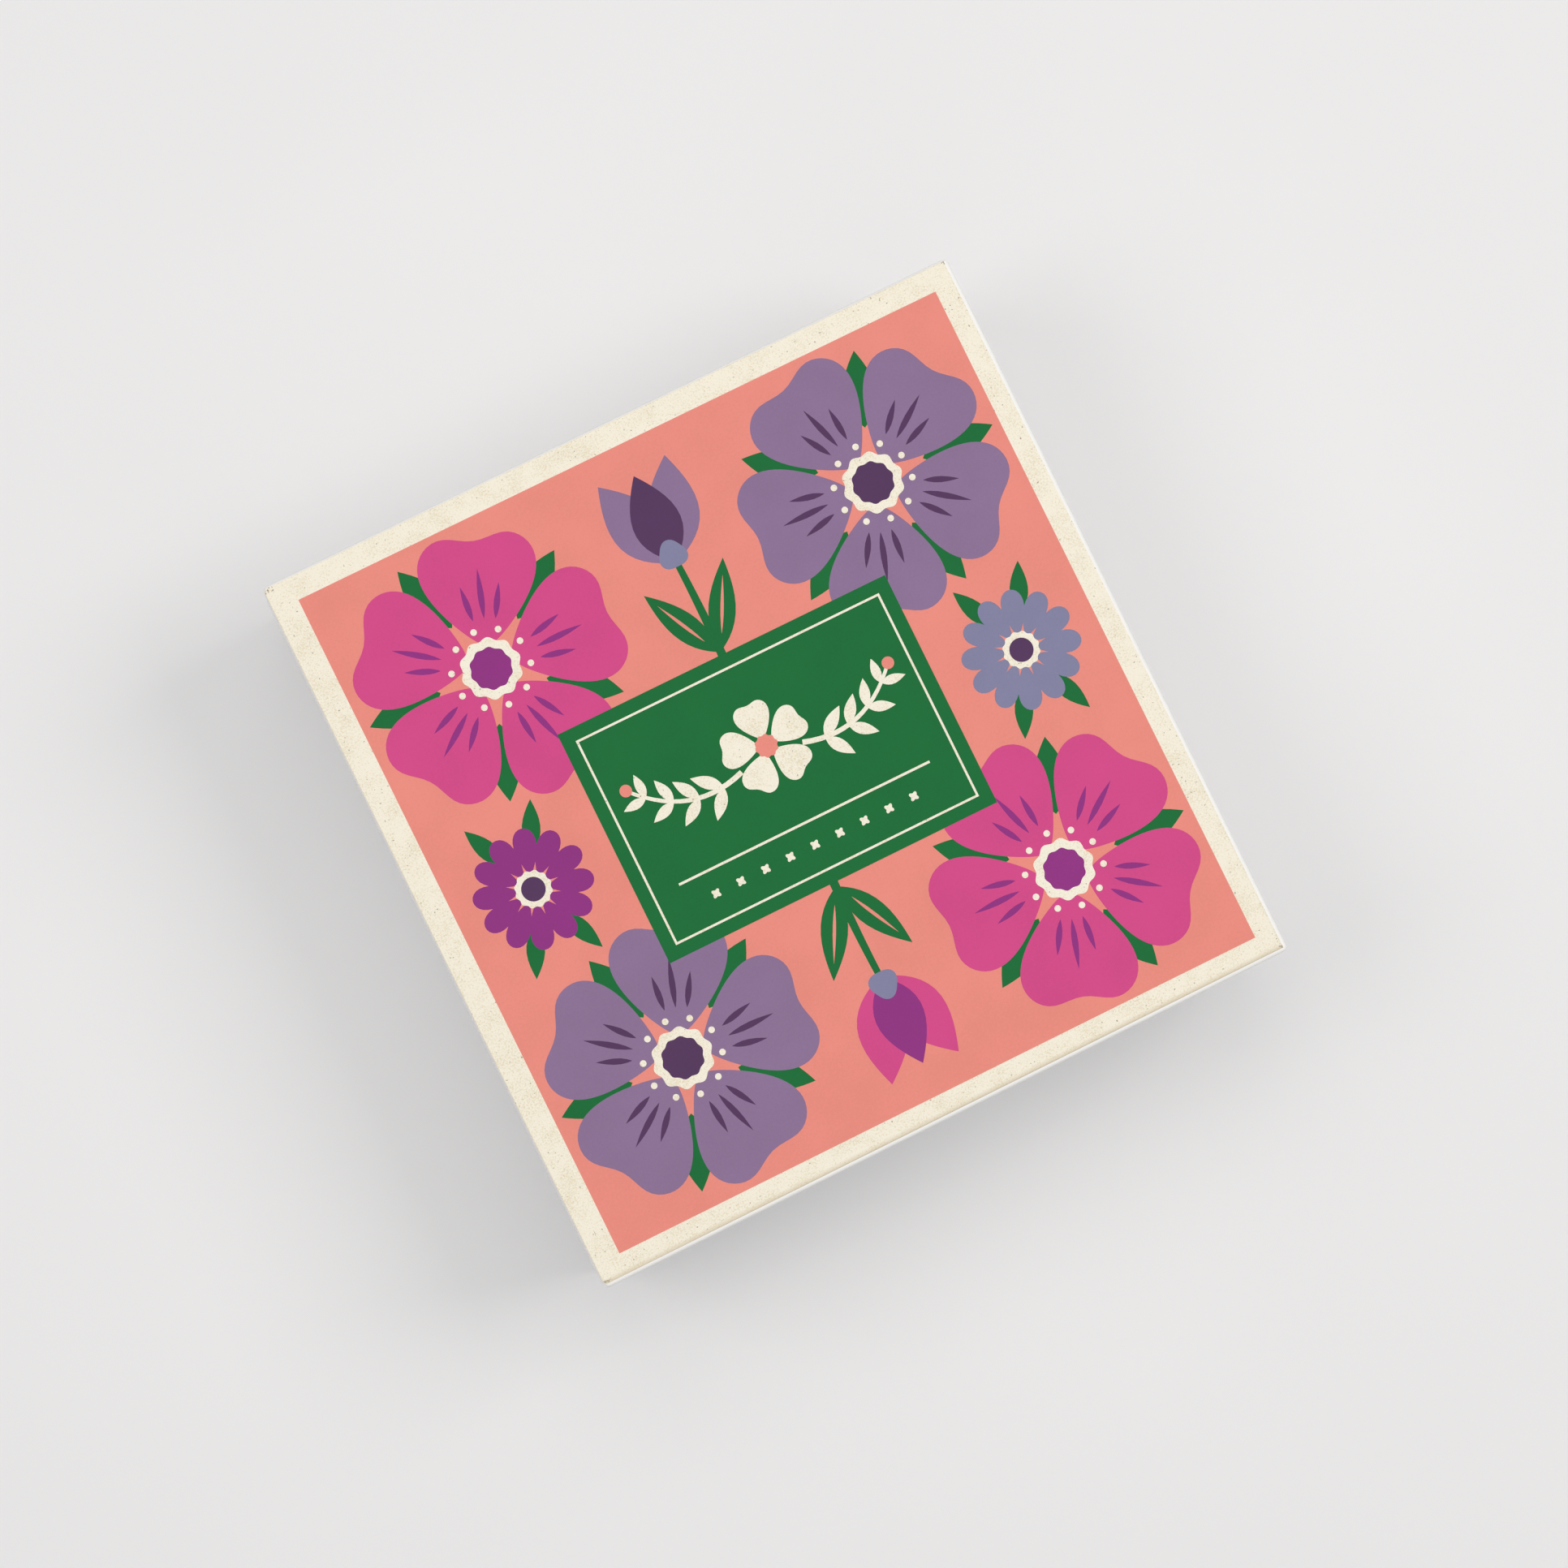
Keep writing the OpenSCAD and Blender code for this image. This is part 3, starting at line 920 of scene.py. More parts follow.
class Level(Enum):
    """Height of each printed layer above the paper, in millimetres, lowest first."""

    GROUND = 0.008
    STEM = 0.014
    LEAF = 0.022
    PETAL = 0.030
    STREAK = 0.038
    RING = 0.043
    HEART = 0.048
    LABEL = 0.053
    ORNAMENT = 0.058
    TOP = 0.072


# Step in height between neighbours that lap within one layer.
LAP_MM = 0.0015


def lobed(radius: float, lobes: int = 0, depth: float = 0.0) -> Outline:
    """Outline of a round spot with a number of shallow lobes.

    Args:
        radius: Its mean radius, in millimetres.
        lobes: Number of lobes.
        depth: How far they swing out and in, as a share of the radius.

    Returns:
        The outline.
    """
    return lambda a: (
        radius * (1.0 + depth * math.cos(lobes * a)) * math.cos(a),
        radius * (1.0 + depth * math.cos(lobes * a)) * math.sin(a),
    )


def leaf(start: float, length: float, width: float, belly: float = 0.25) -> Outline:
    """Outline of a leaf that lies along X and is pointed at both ends.

    Args:
        start: Where it starts on X, in millimetres.
        length: Its length.
        width: Its width halfway along.
        belly: How much fuller it is towards its start.

    Returns:
        The outline.
    """
    return lambda a: (
        start + length * (0.5 + 0.5 * math.cos(a)),
        0.5 * width * math.copysign(math.sin(a) ** 2 * (1.0 - belly * math.cos(a)), math.sin(a)),
    )


def petal(start: float, length: float, width: float, notch: float = 0.0, notch_rad: float = 0.36) -> Outline:
    """Outline of a petal that lies along X, broadens towards its tip and may be notched there.

    Args:
        start: Where it starts on X, in millimetres.
        length: Its length.
        width: Its broadest part is about three quarters of this.
        notch: The notch's depth.
        notch_rad: How far round the outline's turn the notch reaches.

    Returns:
        The outline.
    """
    return lambda a: (
        start + length * (0.5 + 0.5 * math.cos(a)) - notch * math.exp(-((a / notch_rad) ** 2)),
        0.5 * width * math.sin(a) * (0.3 + 0.7 * (0.5 + 0.5 * math.cos(a)) ** 0.8),
    )


def at(x: float, y: float, turn_deg: float = 0.0) -> Matrix:
    """Place on the sheet, in millimetres, turned anticlockwise."""
    return Matrix.Translation((x, y, 0.0)) @ Matrix.Rotation(math.radians(turn_deg), 4, "Z")


class Printing:
    """Flat printing on a sheet of paper: each ink is one piece of thin, closed shapes."""

    sink_mm: float = 0.03

    def __init__(self, name: str, body: str, slot: str, face_m: float, inks: Sequence[Ink]) -> None:
        """Starts one piece for each ink.

        Args:
            name: What the pieces' names start with.
            body: The CAD body that the printing moves with.
            slot: The record's material slot.
            face_m: Height of the paper's upper face.
            inks: The inks used on it.
        """
        self.body = body
        self.slot = slot
        self.face_m = face_m
        self.inks = {ink: Piece(f"{name}_{ink.name.lower()}") for ink in inks}

    def mark(
        self, ink: Ink, level: Level, shape: bmesh.types.BMesh, place: Matrix = Matrix(), laps: int = 0
    ) -> None:
        """Prints one flat shape, thickened downwards into the paper.

        Args:
            ink: Its ink.
            level: Its layer.
            shape: The flat sheet of its faces, in metres.
            place: Where it goes on the paper, in millimetres.
            laps: Small steps up where it laps a neighbour of its layer.
        """
        height = level.value + laps * LAP_MM
        thicken(shape, height + self.sink_mm)
        spot = place.copy()
        spot.translation = place.translation * MM + Vector((0.0, 0.0, self.face_m + height * MM))
        self.inks[ink].take(shape, spot)

    def spot(
        self, ink: Ink, level: Level, outline: Outline, place: Matrix, segments: int = 32, laps: int = 0
    ) -> None:
        """Prints the inside of an outline."""
        self.mark(ink, level, plate(outline, segments), place, laps)

    def panel(self, ink: Ink, level: Level, low: Point, high: Point) -> None:
        """Prints one rectangle between two corners.

        Args:
            ink: Its ink.
            level: Its layer.
            low: Its lower left corner, in millimetres.
            high: Its upper right corner.
        """
        (left, bottom), (right, top) = low, high
        oblong = bmesh.new()
        bmesh.ops.create_grid(oblong, x_segments=1, y_segments=1, size=0.5)
        bmesh.ops.scale(oblong, vec=((right - left) * MM, (top - bottom) * MM, 1.0), verts=oblong.verts)
        self.mark(ink, level, oblong, at((left + right) / 2.0, (bottom + top) / 2.0))

    def frame(self, ink: Ink, level: Level, middle: Point, half: Point, line: float) -> None:
        """Prints the four lines of an oblong frame.

        Args:
            ink: Its ink.
            level: Its layer.
            middle: Its middle, in millimetres.
            half: Half its width and height, to the outside of the lines.
            line: The lines' width.
        """
        (x, y), (w, h) = middle, half
        for side in SIDES:
            near, far = sorted((side * (h - line), side * h))
            self.panel(ink, level, (x - w, y + near), (x + w, y + far))
            near, far = sorted((side * (w - line), side * w))
            self.panel(ink, level, (x + near, y - h + line), (x + far, y + h - line))

    def finish(self, finishes: Mapping[Ink, bpy.types.Material]) -> None:
        """Turns the inks into finished pieces.

        Args:
            finishes: Each ink's finish.
        """
        for ink, piece in self.inks.items():
            piece.finish(finishes[ink], self.body, self.slot, smooth_deg=20.0)


@dataclass(frozen=True)
class Blossom:
    """Round blossom of five notched petals over pointed sepals, drawn in shares of its radius."""

    x: float
    y: float
    radius: float
    turn: float
    petals: Ink
    streaks: Ink
    heart: Ink
    count: int = 5
    dots: int = 10
    fan: tuple[Point, ...] = ((-13.0, 0.26), (0.0, 0.36), (13.0, 0.26))

    def draw(self, sheet: Printing) -> None:
        """Prints the blossom; the fan gives each streak's lean in degrees and its length.

        Args:
            sheet: The printing that it belongs to.
        """
        r, step = self.radius, 360.0 / self.count
        for i in range(self.count):
            turn = self.turn + step * i
            sepal = leaf(0.4 * r, 0.56 * r, 0.24 * r)
            sheet.spot(Ink.GREEN, Level.LEAF, sepal, at(self.x, self.y, turn + step / 2.0), 24)
            outline = petal(0.17 * r, 0.85 * r, 1.12 * r, 0.1 * r)
            sheet.spot(self.petals, Level.PETAL, outline, at(self.x, self.y, turn), 64, i % 3)
            for lean, reach in self.fan:
                streak = leaf(0.36 * r, reach * r, 0.045 * r)
                sheet.spot(self.streaks, Level.STREAK, streak, at(self.x, self.y, turn + lean), 16)
        middle = at(self.x, self.y, self.turn)
        sheet.spot(Ink.CREAM, Level.RING, lobed(0.215 * r, 10, 0.05), middle, 80)
        sheet.spot(self.heart, Level.HEART, lobed(0.15 * r, 10, 0.04), middle, 60)
        for i in range(self.dots):
            dot = at(self.x, self.y, self.turn + 360.0 / self.dots * (i + 0.5)) @ at(0.285 * r, 0.0)
            sheet.spot(Ink.CREAM, Level.RING, lobed(0.024 * r), dot, 14)


@dataclass(frozen=True)
class Daisy:
    """Small daisy of twelve slender petals over four leaves, drawn in shares of its radius."""

    x: float
    y: float
    radius: float
    petals: Ink
    heart: Ink
    count: int = 12
    leaves: tuple[float, ...] = (66.0, 114.0, 246.0, 294.0)

    def draw(self, sheet: Printing) -> None:
        """Prints the daisy.

        Args:
            sheet: The printing that it belongs to.
        """
        r = self.radius
        for i, turn in enumerate(self.leaves):
            outline = leaf(0.6 * r, 0.86 * r, 0.3 * r)
            sheet.spot(Ink.GREEN, Level.LEAF, outline, at(self.x, self.y, turn), 24, 1 + i % 2)
        for i in range(self.count):
            place = at(self.x, self.y, 360.0 / self.count * (i + 0.5))
            sheet.spot(self.petals, Level.PETAL, petal(0.24 * r, 0.76 * r, 0.5 * r), place, 28, i % 2)
        sheet.spot(Ink.CREAM, Level.RING, lobed(0.3 * r, 12, 0.05), at(self.x, self.y), 60)
        sheet.spot(self.heart, Level.HEART, lobed(0.2 * r), at(self.x, self.y))


@dataclass(frozen=True)
class Tulip:
    """Upright tulip on a stem between two long leaves."""

    x: float
    y: float
    turn: float
    cup: Ink
    flanks: Ink
    stem: Curve = ((0.0, -3.0), (0.6, 14.0), (0.0, 27.0))

    def draw(self, sheet: Printing) -> None:
        """Prints the tulip, whose stem starts at its place and runs along its own Y.

        Args:
            sheet: The printing that it belongs to.
        """
        spot = at(self.x, self.y, self.turn)
        sheet.mark(Ink.GREEN, Level.STEM, ribbon(self.stem, (2.2, 1.5)), spot)
        for i, side in enumerate(SIDES):
            long_leaf = spot @ at(side * 0.4, 1.0, 90.0 - side * 27.0)
            sheet.spot(Ink.GREEN, Level.LEAF, leaf(0.0, 22.0, 6.4), long_leaf, laps=i)
            sheet.spot(Ink.SALMON, Level.PETAL, leaf(4.0, 14.0, 0.8), long_leaf, 16)
            flank = spot @ at(side * 1.6, 25.0, 90.0 - side * 17.0)
            sheet.spot(self.flanks, Level.PETAL, leaf(0.0, 24.5, 12.0), flank, 36, i)
        sheet.spot(self.cup, Level.STREAK, leaf(0.0, 22.5, 11.5), spot @ at(0.0, 24.6, 90.0), 36)
        sheet.spot(Ink.SLATE, Level.RING, lobed(3.4, 3, 0.1), spot @ at(0.0, 26.4, 90.0), 36)


@dataclass(frozen=True)
class Sprig:
    """Curved stem with pairs of oval leaves, smaller towards its tip."""

    points: Curve
    pairs: int
    leaf_mm: float
    ink: Ink
    level: Level
    spread_deg: float = 46.0
    stem_mm: Point = (1.3, 0.8)

    def draw(self, sheet: Printing) -> None:
        """Prints the sprig.

        Args:
            sheet: The printing that it belongs to.
        """
        sheet.mark(self.ink, self.level, ribbon(self.points, self.stem_mm), laps=3)
        for i in range(self.pairs):
            t = (i + 0.8) / (self.pairs + 0.5)
            place, heading = bent(self.points, t)
            ahead = math.degrees(math.atan2(heading.y, heading.x))
            size = self.leaf_mm * (1.0 - 0.35 * t)
            for j, side in enumerate(SIDES):
                turned = at(place.x, place.y, ahead + side * self.spread_deg)
                sheet.spot(self.ink, self.level, leaf(0.2, size, 0.38 * size), turned, 24, (2 * i + j) % 3)


@dataclass(frozen=True)
class CoverDesign:
    """Layout of the print: a salmon ground, four corner blossoms, and motifs between them."""

    left: float = 6.45
    right: float = 5.97
    top: float = 6.18
    bottom: float = 6.03
    half_lid: Point = (90.0, 91.5)
    half_label: Point = (43.1, 29.95)
    label_at: Point = (0.15, 0.15)
    label_frame: float = 3.2
    branch: Curve = ((8.0, 3.0), (23.0, -2.0), (34.5, 11.0))
    flower_y: float = 6.0
    half_rule: float = 33.0
    rule_y: Point = (-14.6, -14.0)
    dots_y: float = -20.0
    dot_gap: float = 6.5

    def draw(self, sheet: Printing) -> None:
        """Prints the whole design.

        Args:
            sheet: The printing that it belongs to.
        """
        half_x, half_y = self.half_lid
        low, high = (self.left - half_x, self.bottom - half_y), (half_x - self.right, half_y - self.top)
        sheet.panel(Ink.SALMON, Level.GROUND, low, high)
        for flower in (
            Blossom(-50.0, 51.0, 33.0, 0.0, Ink.MAGENTA, Ink.VIOLET, Ink.VIOLET),
            Blossom(50.5, 51.0, 33.0, 36.0, Ink.MAUVE, Ink.PLUM, Ink.PLUM),
            Blossom(50.5, -51.0, 33.0, 36.0, Ink.MAGENTA, Ink.VIOLET, Ink.VIOLET),
            Blossom(-50.0, -51.0, 33.0, 0.0, Ink.MAUVE, Ink.PLUM, Ink.PLUM),
            Daisy(-64.0, 0.0, 14.5, Ink.VIOLET, Ink.PLUM),
            Daisy(64.5, 0.0, 14.5, Ink.SLATE, Ink.PLUM),
            Tulip(0.2, 30.0, 0.0, Ink.PLUM, Ink.MAUVE),
            Tulip(0.2, -30.0, 180.0, Ink.VIOLET, Ink.MAGENTA),
        ):
            flower.draw(sheet)
        self._label(sheet)

    def _label(self, sheet: Printing) -> None:
        """Prints the green label with a cream frame, a flower between two sprigs, and a rule.

        Args:
            sheet: The printing that it belongs to.
        """
        (x, y), (w, h) = self.label_at, self.half_label
        sheet.panel(Ink.GREEN, Level.LABEL, (x - w, y - h), (x + w, y + h))
        sheet.frame(Ink.CREAM, Level.ORNAMENT, (x, y), (w - self.label_frame, h - self.label_frame), 0.55)
        for side in SIDES:
            branch = tuple((x + side * along, y + up) for along, up in self.branch)
            Sprig(branch, 4, 8.6, Ink.CREAM, Level.ORNAMENT).draw(sheet)
            sheet.spot(Ink.SALMON, Level.TOP, lobed(1.5), at(*branch[2]), 24)
        rule, (low, high) = self.half_rule, self.rule_y
        sheet.panel(Ink.CREAM, Level.ORNAMENT, (x - rule, y + low), (x + rule, y + high))
        for i in range(5):
            place = at(x, y + self.flower_y, 90.0 + 72.0 * i)
            sheet.spot(Ink.CREAM, Level.ORNAMENT, petal(2.0, 9.5, 11.4, 1.0), place, 48, 4 + i % 3)
        sheet.spot(Ink.SALMON, Level.TOP, lobed(2.7, 10, 0.06), at(x, y + self.flower_y), 60)
        for i in range(-4, 5):
            place = at(x + self.dot_gap * i, y + self.dots_y, 45.0)
            sheet.spot(Ink.CREAM, Level.ORNAMENT, lobed(1.0, 4, 0.25), place)


@dataclass
class CoverSheet:
    """The printed sheet of speckled stock, glued to the lid flush with its left edge."""

    sheet_mm: float = 0.2
    left_mm: float = 0.92
    upper_mm: float = 0.5
    rim_mm: float = 0.8
    corner_mm: float = 1.1

    def _blank(self, size: Vector) -> bmesh.types.BMesh:
        """Cuts the sheet, whose left corners are rounded and whose other rims are rubbed down softly.

        The rims are bevelled on a much thicker block, which is then pressed flat.

        Args:
            size: Its three sides, in metres.

        Returns:
            The closed solid, with its middle at the origin.
        """
        stretch = 1.1 * self.rim_mm / self.sheet_mm
        sheet = block(Vector((size.x, size.y, size.z * stretch)))
        left = [e for e in sheet.edges if max(v.co.x for v in e.verts) < 0.0 and rise(e) > 0.0]
        soften(sheet, left, self.corner_mm, 4)
        top = [e for e in sheet.edges if min(v.co.z for v in e.verts) > 0.0]
        soften(sheet, [e for e in top if max(v.co.x for v in e.verts) > 0.0], self.rim_mm, 5)
        bmesh.ops.scale(sheet, vec=(1.0, 1.0, 1.0 / stretch), verts=sheet.verts)
        return sheet

    def build(self, stock: bpy.types.Material, finishes: Mapping[Ink, bpy.types.Material]) -> None:
        """Builds the sheet and the printing on it.

        Args:
            stock: The unprinted stock's finish.
            finishes: Each ink's finish.
        """
        low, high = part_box("lid_print")
        low.x -= self.left_mm * MM
        high.y += self.upper_mm * MM
        high.z = low.z + self.sheet_mm * MM
        sheet = Piece("cover_sheet")
        sheet.take(self._blank(high - low), Matrix.Translation((low + high) / 2.0))
        sheet.finish(stock, "lid", "print_paper", ("lid_print",), 50.0)
        printing = Printing("print", "lid", "print_paper", high.z, list(Ink))
        CoverDesign().draw(printing)
        printing.finish(finishes)


@dataclass(frozen=True)
class LeafletDesign:
    """Front of the folded leaflet: a green frame and one blossom on a leafy stem, without words."""

    half_mm: Point = (42.0, 63.0)
    gap_mm: float = 1.8
    stem: Curve = ((1.5, -50.0), (-3.5, -20.0), (0.0, 14.0))

    def build(self, finishes: Mapping[Ink, bpy.types.Material]) -> None:
        """Builds the printing on the leaflet's upper face.

        Args:
            finishes: Each ink's finish.
        """
        inks = (Ink.GREEN, Ink.MAGENTA, Ink.VIOLET, Ink.CREAM)
        sheet = Printing("leaflet_print", "leaflet_sheet", "leaflet_paper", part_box("leaflet")[1].z, inks)
        w, h = self.half_mm
        sheet.frame(Ink.GREEN, Level.GROUND, (0.0, 0.0), (w, h), 0.7)
        sheet.frame(Ink.GREEN, Level.GROUND, (0.0, 0.0), (w - self.gap_mm, h - self.gap_mm), 0.3)
        Sprig(self.stem, 4, 19.0, Ink.GREEN, Level.STEM, 38.0).draw(sheet)
        Blossom(0.0, 24.0, 21.0, 90.0, Ink.MAGENTA, Ink.VIOLET, Ink.VIOLET).draw(sheet)
        sheet.finish(finishes)


# The press


@dataclass
class Fasteners:
    """Four carriage bolts with washers and wing nuts, all in zinc-plated steel.

    The points of rims, lip, tip and ridge say how far each lies in or out from its radius, then how
    far up or down. The hub's and the wings' points are distance from the axis, then height. The
    shoulder's two heights are from the thread's start, and the washer's edges are the lower bevels
    at its bore and its rim.
    """

    reach_x_mm: float = 67.5
    reach_y_mm: float = 69.0
    seat_mm: float = 5.3
    bolt_mm: float = 48.1
    bolt_r_mm: float = 3.0
    root_r_mm: float = 2.45
    pitch_mm: float = 1.0
    thread_turns: int = 26
    thread_room_mm: float = 0.4
    rolled_gain_mm: float = 0.25
    shoulder_mm: Point = (-0.6, 0.2)
    tip_mm: Point = (0.45, 0.5)
    ridge_foot_mm: Point = (0.12, 0.42)
    ridge_crest_mm: Point = (0.01, 0.05)
    round_steps: int = 56
    head_r_mm: float = 8.0
    head_mm: float = 3.2
    dome_steps: int = 14
    dome_share: float = 0.985
    head_rim_mm: tuple[Point, ...] = ((0.08, -0.34), (0.03, -0.2), (0.12, -0.05), (0.3, 0.0))
    neck_mm: float = 2.8
    neck_edge_mm: float = 0.25
    washer_r_mm: float = 8.0
    washer_bore_mm: float = 3.3
    washer_rim_mm: tuple[Point, ...] = ((0.0, 0.4), (0.07, 0.2), (0.2, 0.06), (0.42, 0.0))
    washer_lip_mm: tuple[Point, ...] = ((0.3, 0.0), (0.12, 0.05), (0.0, 0.2))
    washer_edges_mm: Point = (0.12, 0.06)
    hub_mm: tuple[Point, ...] = (
        (3.06, 0.5), (3.5, 0.0), (5.8, 0.0), (6.3, 0.5), (6.3, 1.4), (5.75, 2.0), (5.35, 4.6),
        (5.2, 7.0), (4.7, 7.5), (3.5, 7.5), (3.06, 7.0),
    )
    hub_steps: int = 72
    ear_at_mm: Point = (12.1, 12.1)
    ear_r_mm: float = 4.4
    ear_ends: Point = (2.95, 5.43)
    web_mm: tuple[Point, ...] = ((7.9, 12.4), (4.1, 6.4), (4.1, 1.7), (15.0, 8.75))
    web_splits: tuple[float, ...] = (0.0, 0.4, 0.6, 1.0)
    web_bulges_mm: tuple[float, ...] = (0.66, 0.0, 0.9)
    wing_tip_mm: float = 1.2
    wing_gain_mm: float = 1.25
    taper_from_mm: float = 9.2
    taper_mm: float = 4.6
    taper_power: float = 1.4
    wing_edge_mm: float = 0.55
    voxel_mm: float = 0.26
    smooth_factor: float = 0.5
    smooth_rounds: int = 4

    def spots(self, height_mm: float) -> list[Vector]:
        """Places of the four bolts, in the order of the wing nuts' numbers."""
        signs = ((1.0, 1.0), (-1.0, 1.0), (-1.0, -1.0), (1.0, -1.0))
        return [Vector((a * self.reach_x_mm, b * self.reach_y_mm, height_mm)) * MM for a, b in signs]

    def build_bolts(self, zinc: bpy.types.Material) -> None:
        """Builds the bolts: domed head, square neck, rolled shank and thread.

        Args:
            zinc: Their finish.
        """
        dome = (self.head_r_mm**2 + self.head_mm**2) / (2.0 * self.head_mm)
        step = math.asin(self.head_r_mm / dome) / self.dome_steps
        arc = [(dome * math.sin(step * i), dome * math.cos(step * i)) for i in range(self.dome_steps)]
        rolled, root, end = self.root_r_mm + self.rolled_gain_mm, self.root_r_mm, self.bolt_mm
        start = end - self.thread_turns * self.pitch_mm - self.thread_room_mm
        (before, after), (inward, down_to) = self.shoulder_mm, self.tip_mm
        profile = [
            *((r * self.dome_share, dome - self.head_mm - down) for r, down in arc),
            *((self.head_r_mm - inset, z) for inset, z in self.head_rim_mm),
            (rolled, 0.0), (rolled, start + before), (root, start + after),
            (root, end - down_to), (root - inward, end), (0.0, end),
        ]
        (sunk, foot), (short, top) = self.ridge_foot_mm, self.ridge_crest_mm
        low, crest = self.root_r_mm - sunk, self.bolt_r_mm - short
        ridge = ((low, -foot), (crest, -top), (crest, top), (low, foot))
        bolts = Piece("bolt_set")
        for spot in self.spots(self.seat_mm):
            place = Matrix.Translation(spot)
            bolts.take(lathe(profile, self.round_steps), place)
            size = Vector((2.0 * self.bolt_r_mm, 2.0 * self.bolt_r_mm, self.neck_mm)) * MM
            neck = block(size, Vector((0.0, 0.0, size.z / 2.0)))
            soften(neck, neck.edges[:], self.neck_edge_mm, 3)
            bolts.take(neck, place)
            thread = helix(ridge, self.pitch_mm, self.thread_turns - 1)
            bolts.take(thread, place @ Matrix.Translation((0.0, 0.0, start * MM)))
        bolts.finish(zinc, "press_base", "zinc_steel", ("carriage_bolts",))

    def build_washers(self, zinc: bpy.types.Material) -> None:
        """Builds the stamped washers, rounded on their upper side and sharp below.

        Args:
            zinc: Their finish.
        """
        low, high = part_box("washers")
        t = (high.z - low.z) / MM
        bore, rim = self.washer_bore_mm, self.washer_r_mm
        inner, outer = self.washer_edges_mm
        profile = [
            (bore, inner), (bore + inner, 0.0), (rim - outer, 0.0), (rim, outer),
            *((rim - inset, t - down) for inset, down in self.washer_rim_mm),
            *((bore + out, t - down) for out, down in self.washer_lip_mm),
        ]
        washers = Piece("washer_set")
        for spot in self.spots(low.z / MM):
            washers.take(lathe(profile, self.round_steps, closed=True), Matrix.Translation(spot))
        washers.finish(zinc, "upper_board", "zinc_steel", ("washers",))

    def _wing_outline(self, angle: float) -> Point:
        """Outline of one wing: a round ear, and between its ends the web down to the hub's foot.

        Args:
            angle: Where on the full turn.

        Returns:
            Distance from the nut's axis and height.
        """
        first, last = self.ear_ends
        t = (angle % FULL_TURN - first) / (last - first)
        if not 0.0 < t < 1.0:
            (x, z), r = self.ear_at_mm, self.ear_r_mm
            return (x + r * math.cos(angle), z + r * math.sin(angle))
        i = sum(t >= split for split in self.web_splits[1:-1])
        start, end = self.web_splits[i : i + 2]
        share = (t - start) / (end - start)
        bulge = self.web_bulges_mm[i] * math.sin(math.pi * share)
        edge = Vector(self.web_mm[i]).lerp(Vector(self.web_mm[i + 1]), share)
        return (edge.x + bulge, edge.y - bulge)

    def _casting(self) -> bpy.types.Mesh:
        """Shapes one wing nut as a casting, its foot at height zero: a tapered hub and two wings that
        a fine remesh blends into it.

        Returns:
            The mesh of the casting.
        """
        rough = Piece("wing_nut_rough")
        rough.take(lathe(self.hub_mm, self.hub_steps, closed=True))
        for side in (0.0, math.pi):
            wing = plate(self._wing_outline, self.round_steps)
            thicken(wing, 1.0)
            for vert in wing.verts:
                inner = min(max((self.taper_from_mm - vert.co.x / MM) / self.taper_mm, 0.0), 1.0)
                half = (self.wing_tip_mm + self.wing_gain_mm * inner**self.taper_power) * MM
                vert.co = Vector((vert.co.x, half if vert.co.z < -NEAR_M else -half, vert.co.y))
            bmesh.ops.recalc_face_normals(wing, faces=wing.faces)
            rims = [e for e in wing.edges if e.verts[0].co.y * e.verts[1].co.y > 0.0]
            soften(wing, rims, self.wing_edge_mm, 3)
            rough.take(wing, Matrix.Rotation(side, 4, "Z"))
        model = put("wing_nut_rough", rough.mesh())
        remesh = model.modifiers.new("cast", "REMESH")
        remesh.mode = "VOXEL"
        remesh.voxel_size = self.voxel_mm * MM
        smooth = model.modifiers.new("soften", "SMOOTH")
        smooth.factor = self.smooth_factor
        smooth.iterations = self.smooth_rounds
        shape = bpy.data.meshes.new_from_object(model.evaluated_get(bpy.context.evaluated_depsgraph_get()))
        bpy.data.objects.remove(model)
        return shape

    def build_nuts(self, zinc: bpy.types.Material) -> None:
        """Builds the four wing nuts, each on its own body.

        Args:
            zinc: Their finish.
        """
        casting = self._casting()
        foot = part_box("wing_nut_1")[0].z / MM
        for i, spot in enumerate(self.spots(foot), 1):
            nut = Piece(f"cast_wing_nut_{i}")
            nut.bm.from_mesh(casting)
            nut.bm.transform(Matrix.Translation(spot))
            nut.finish(zinc, f"nut_{i}", "zinc_steel", (f"wing_nut_{i}",), 60.0)


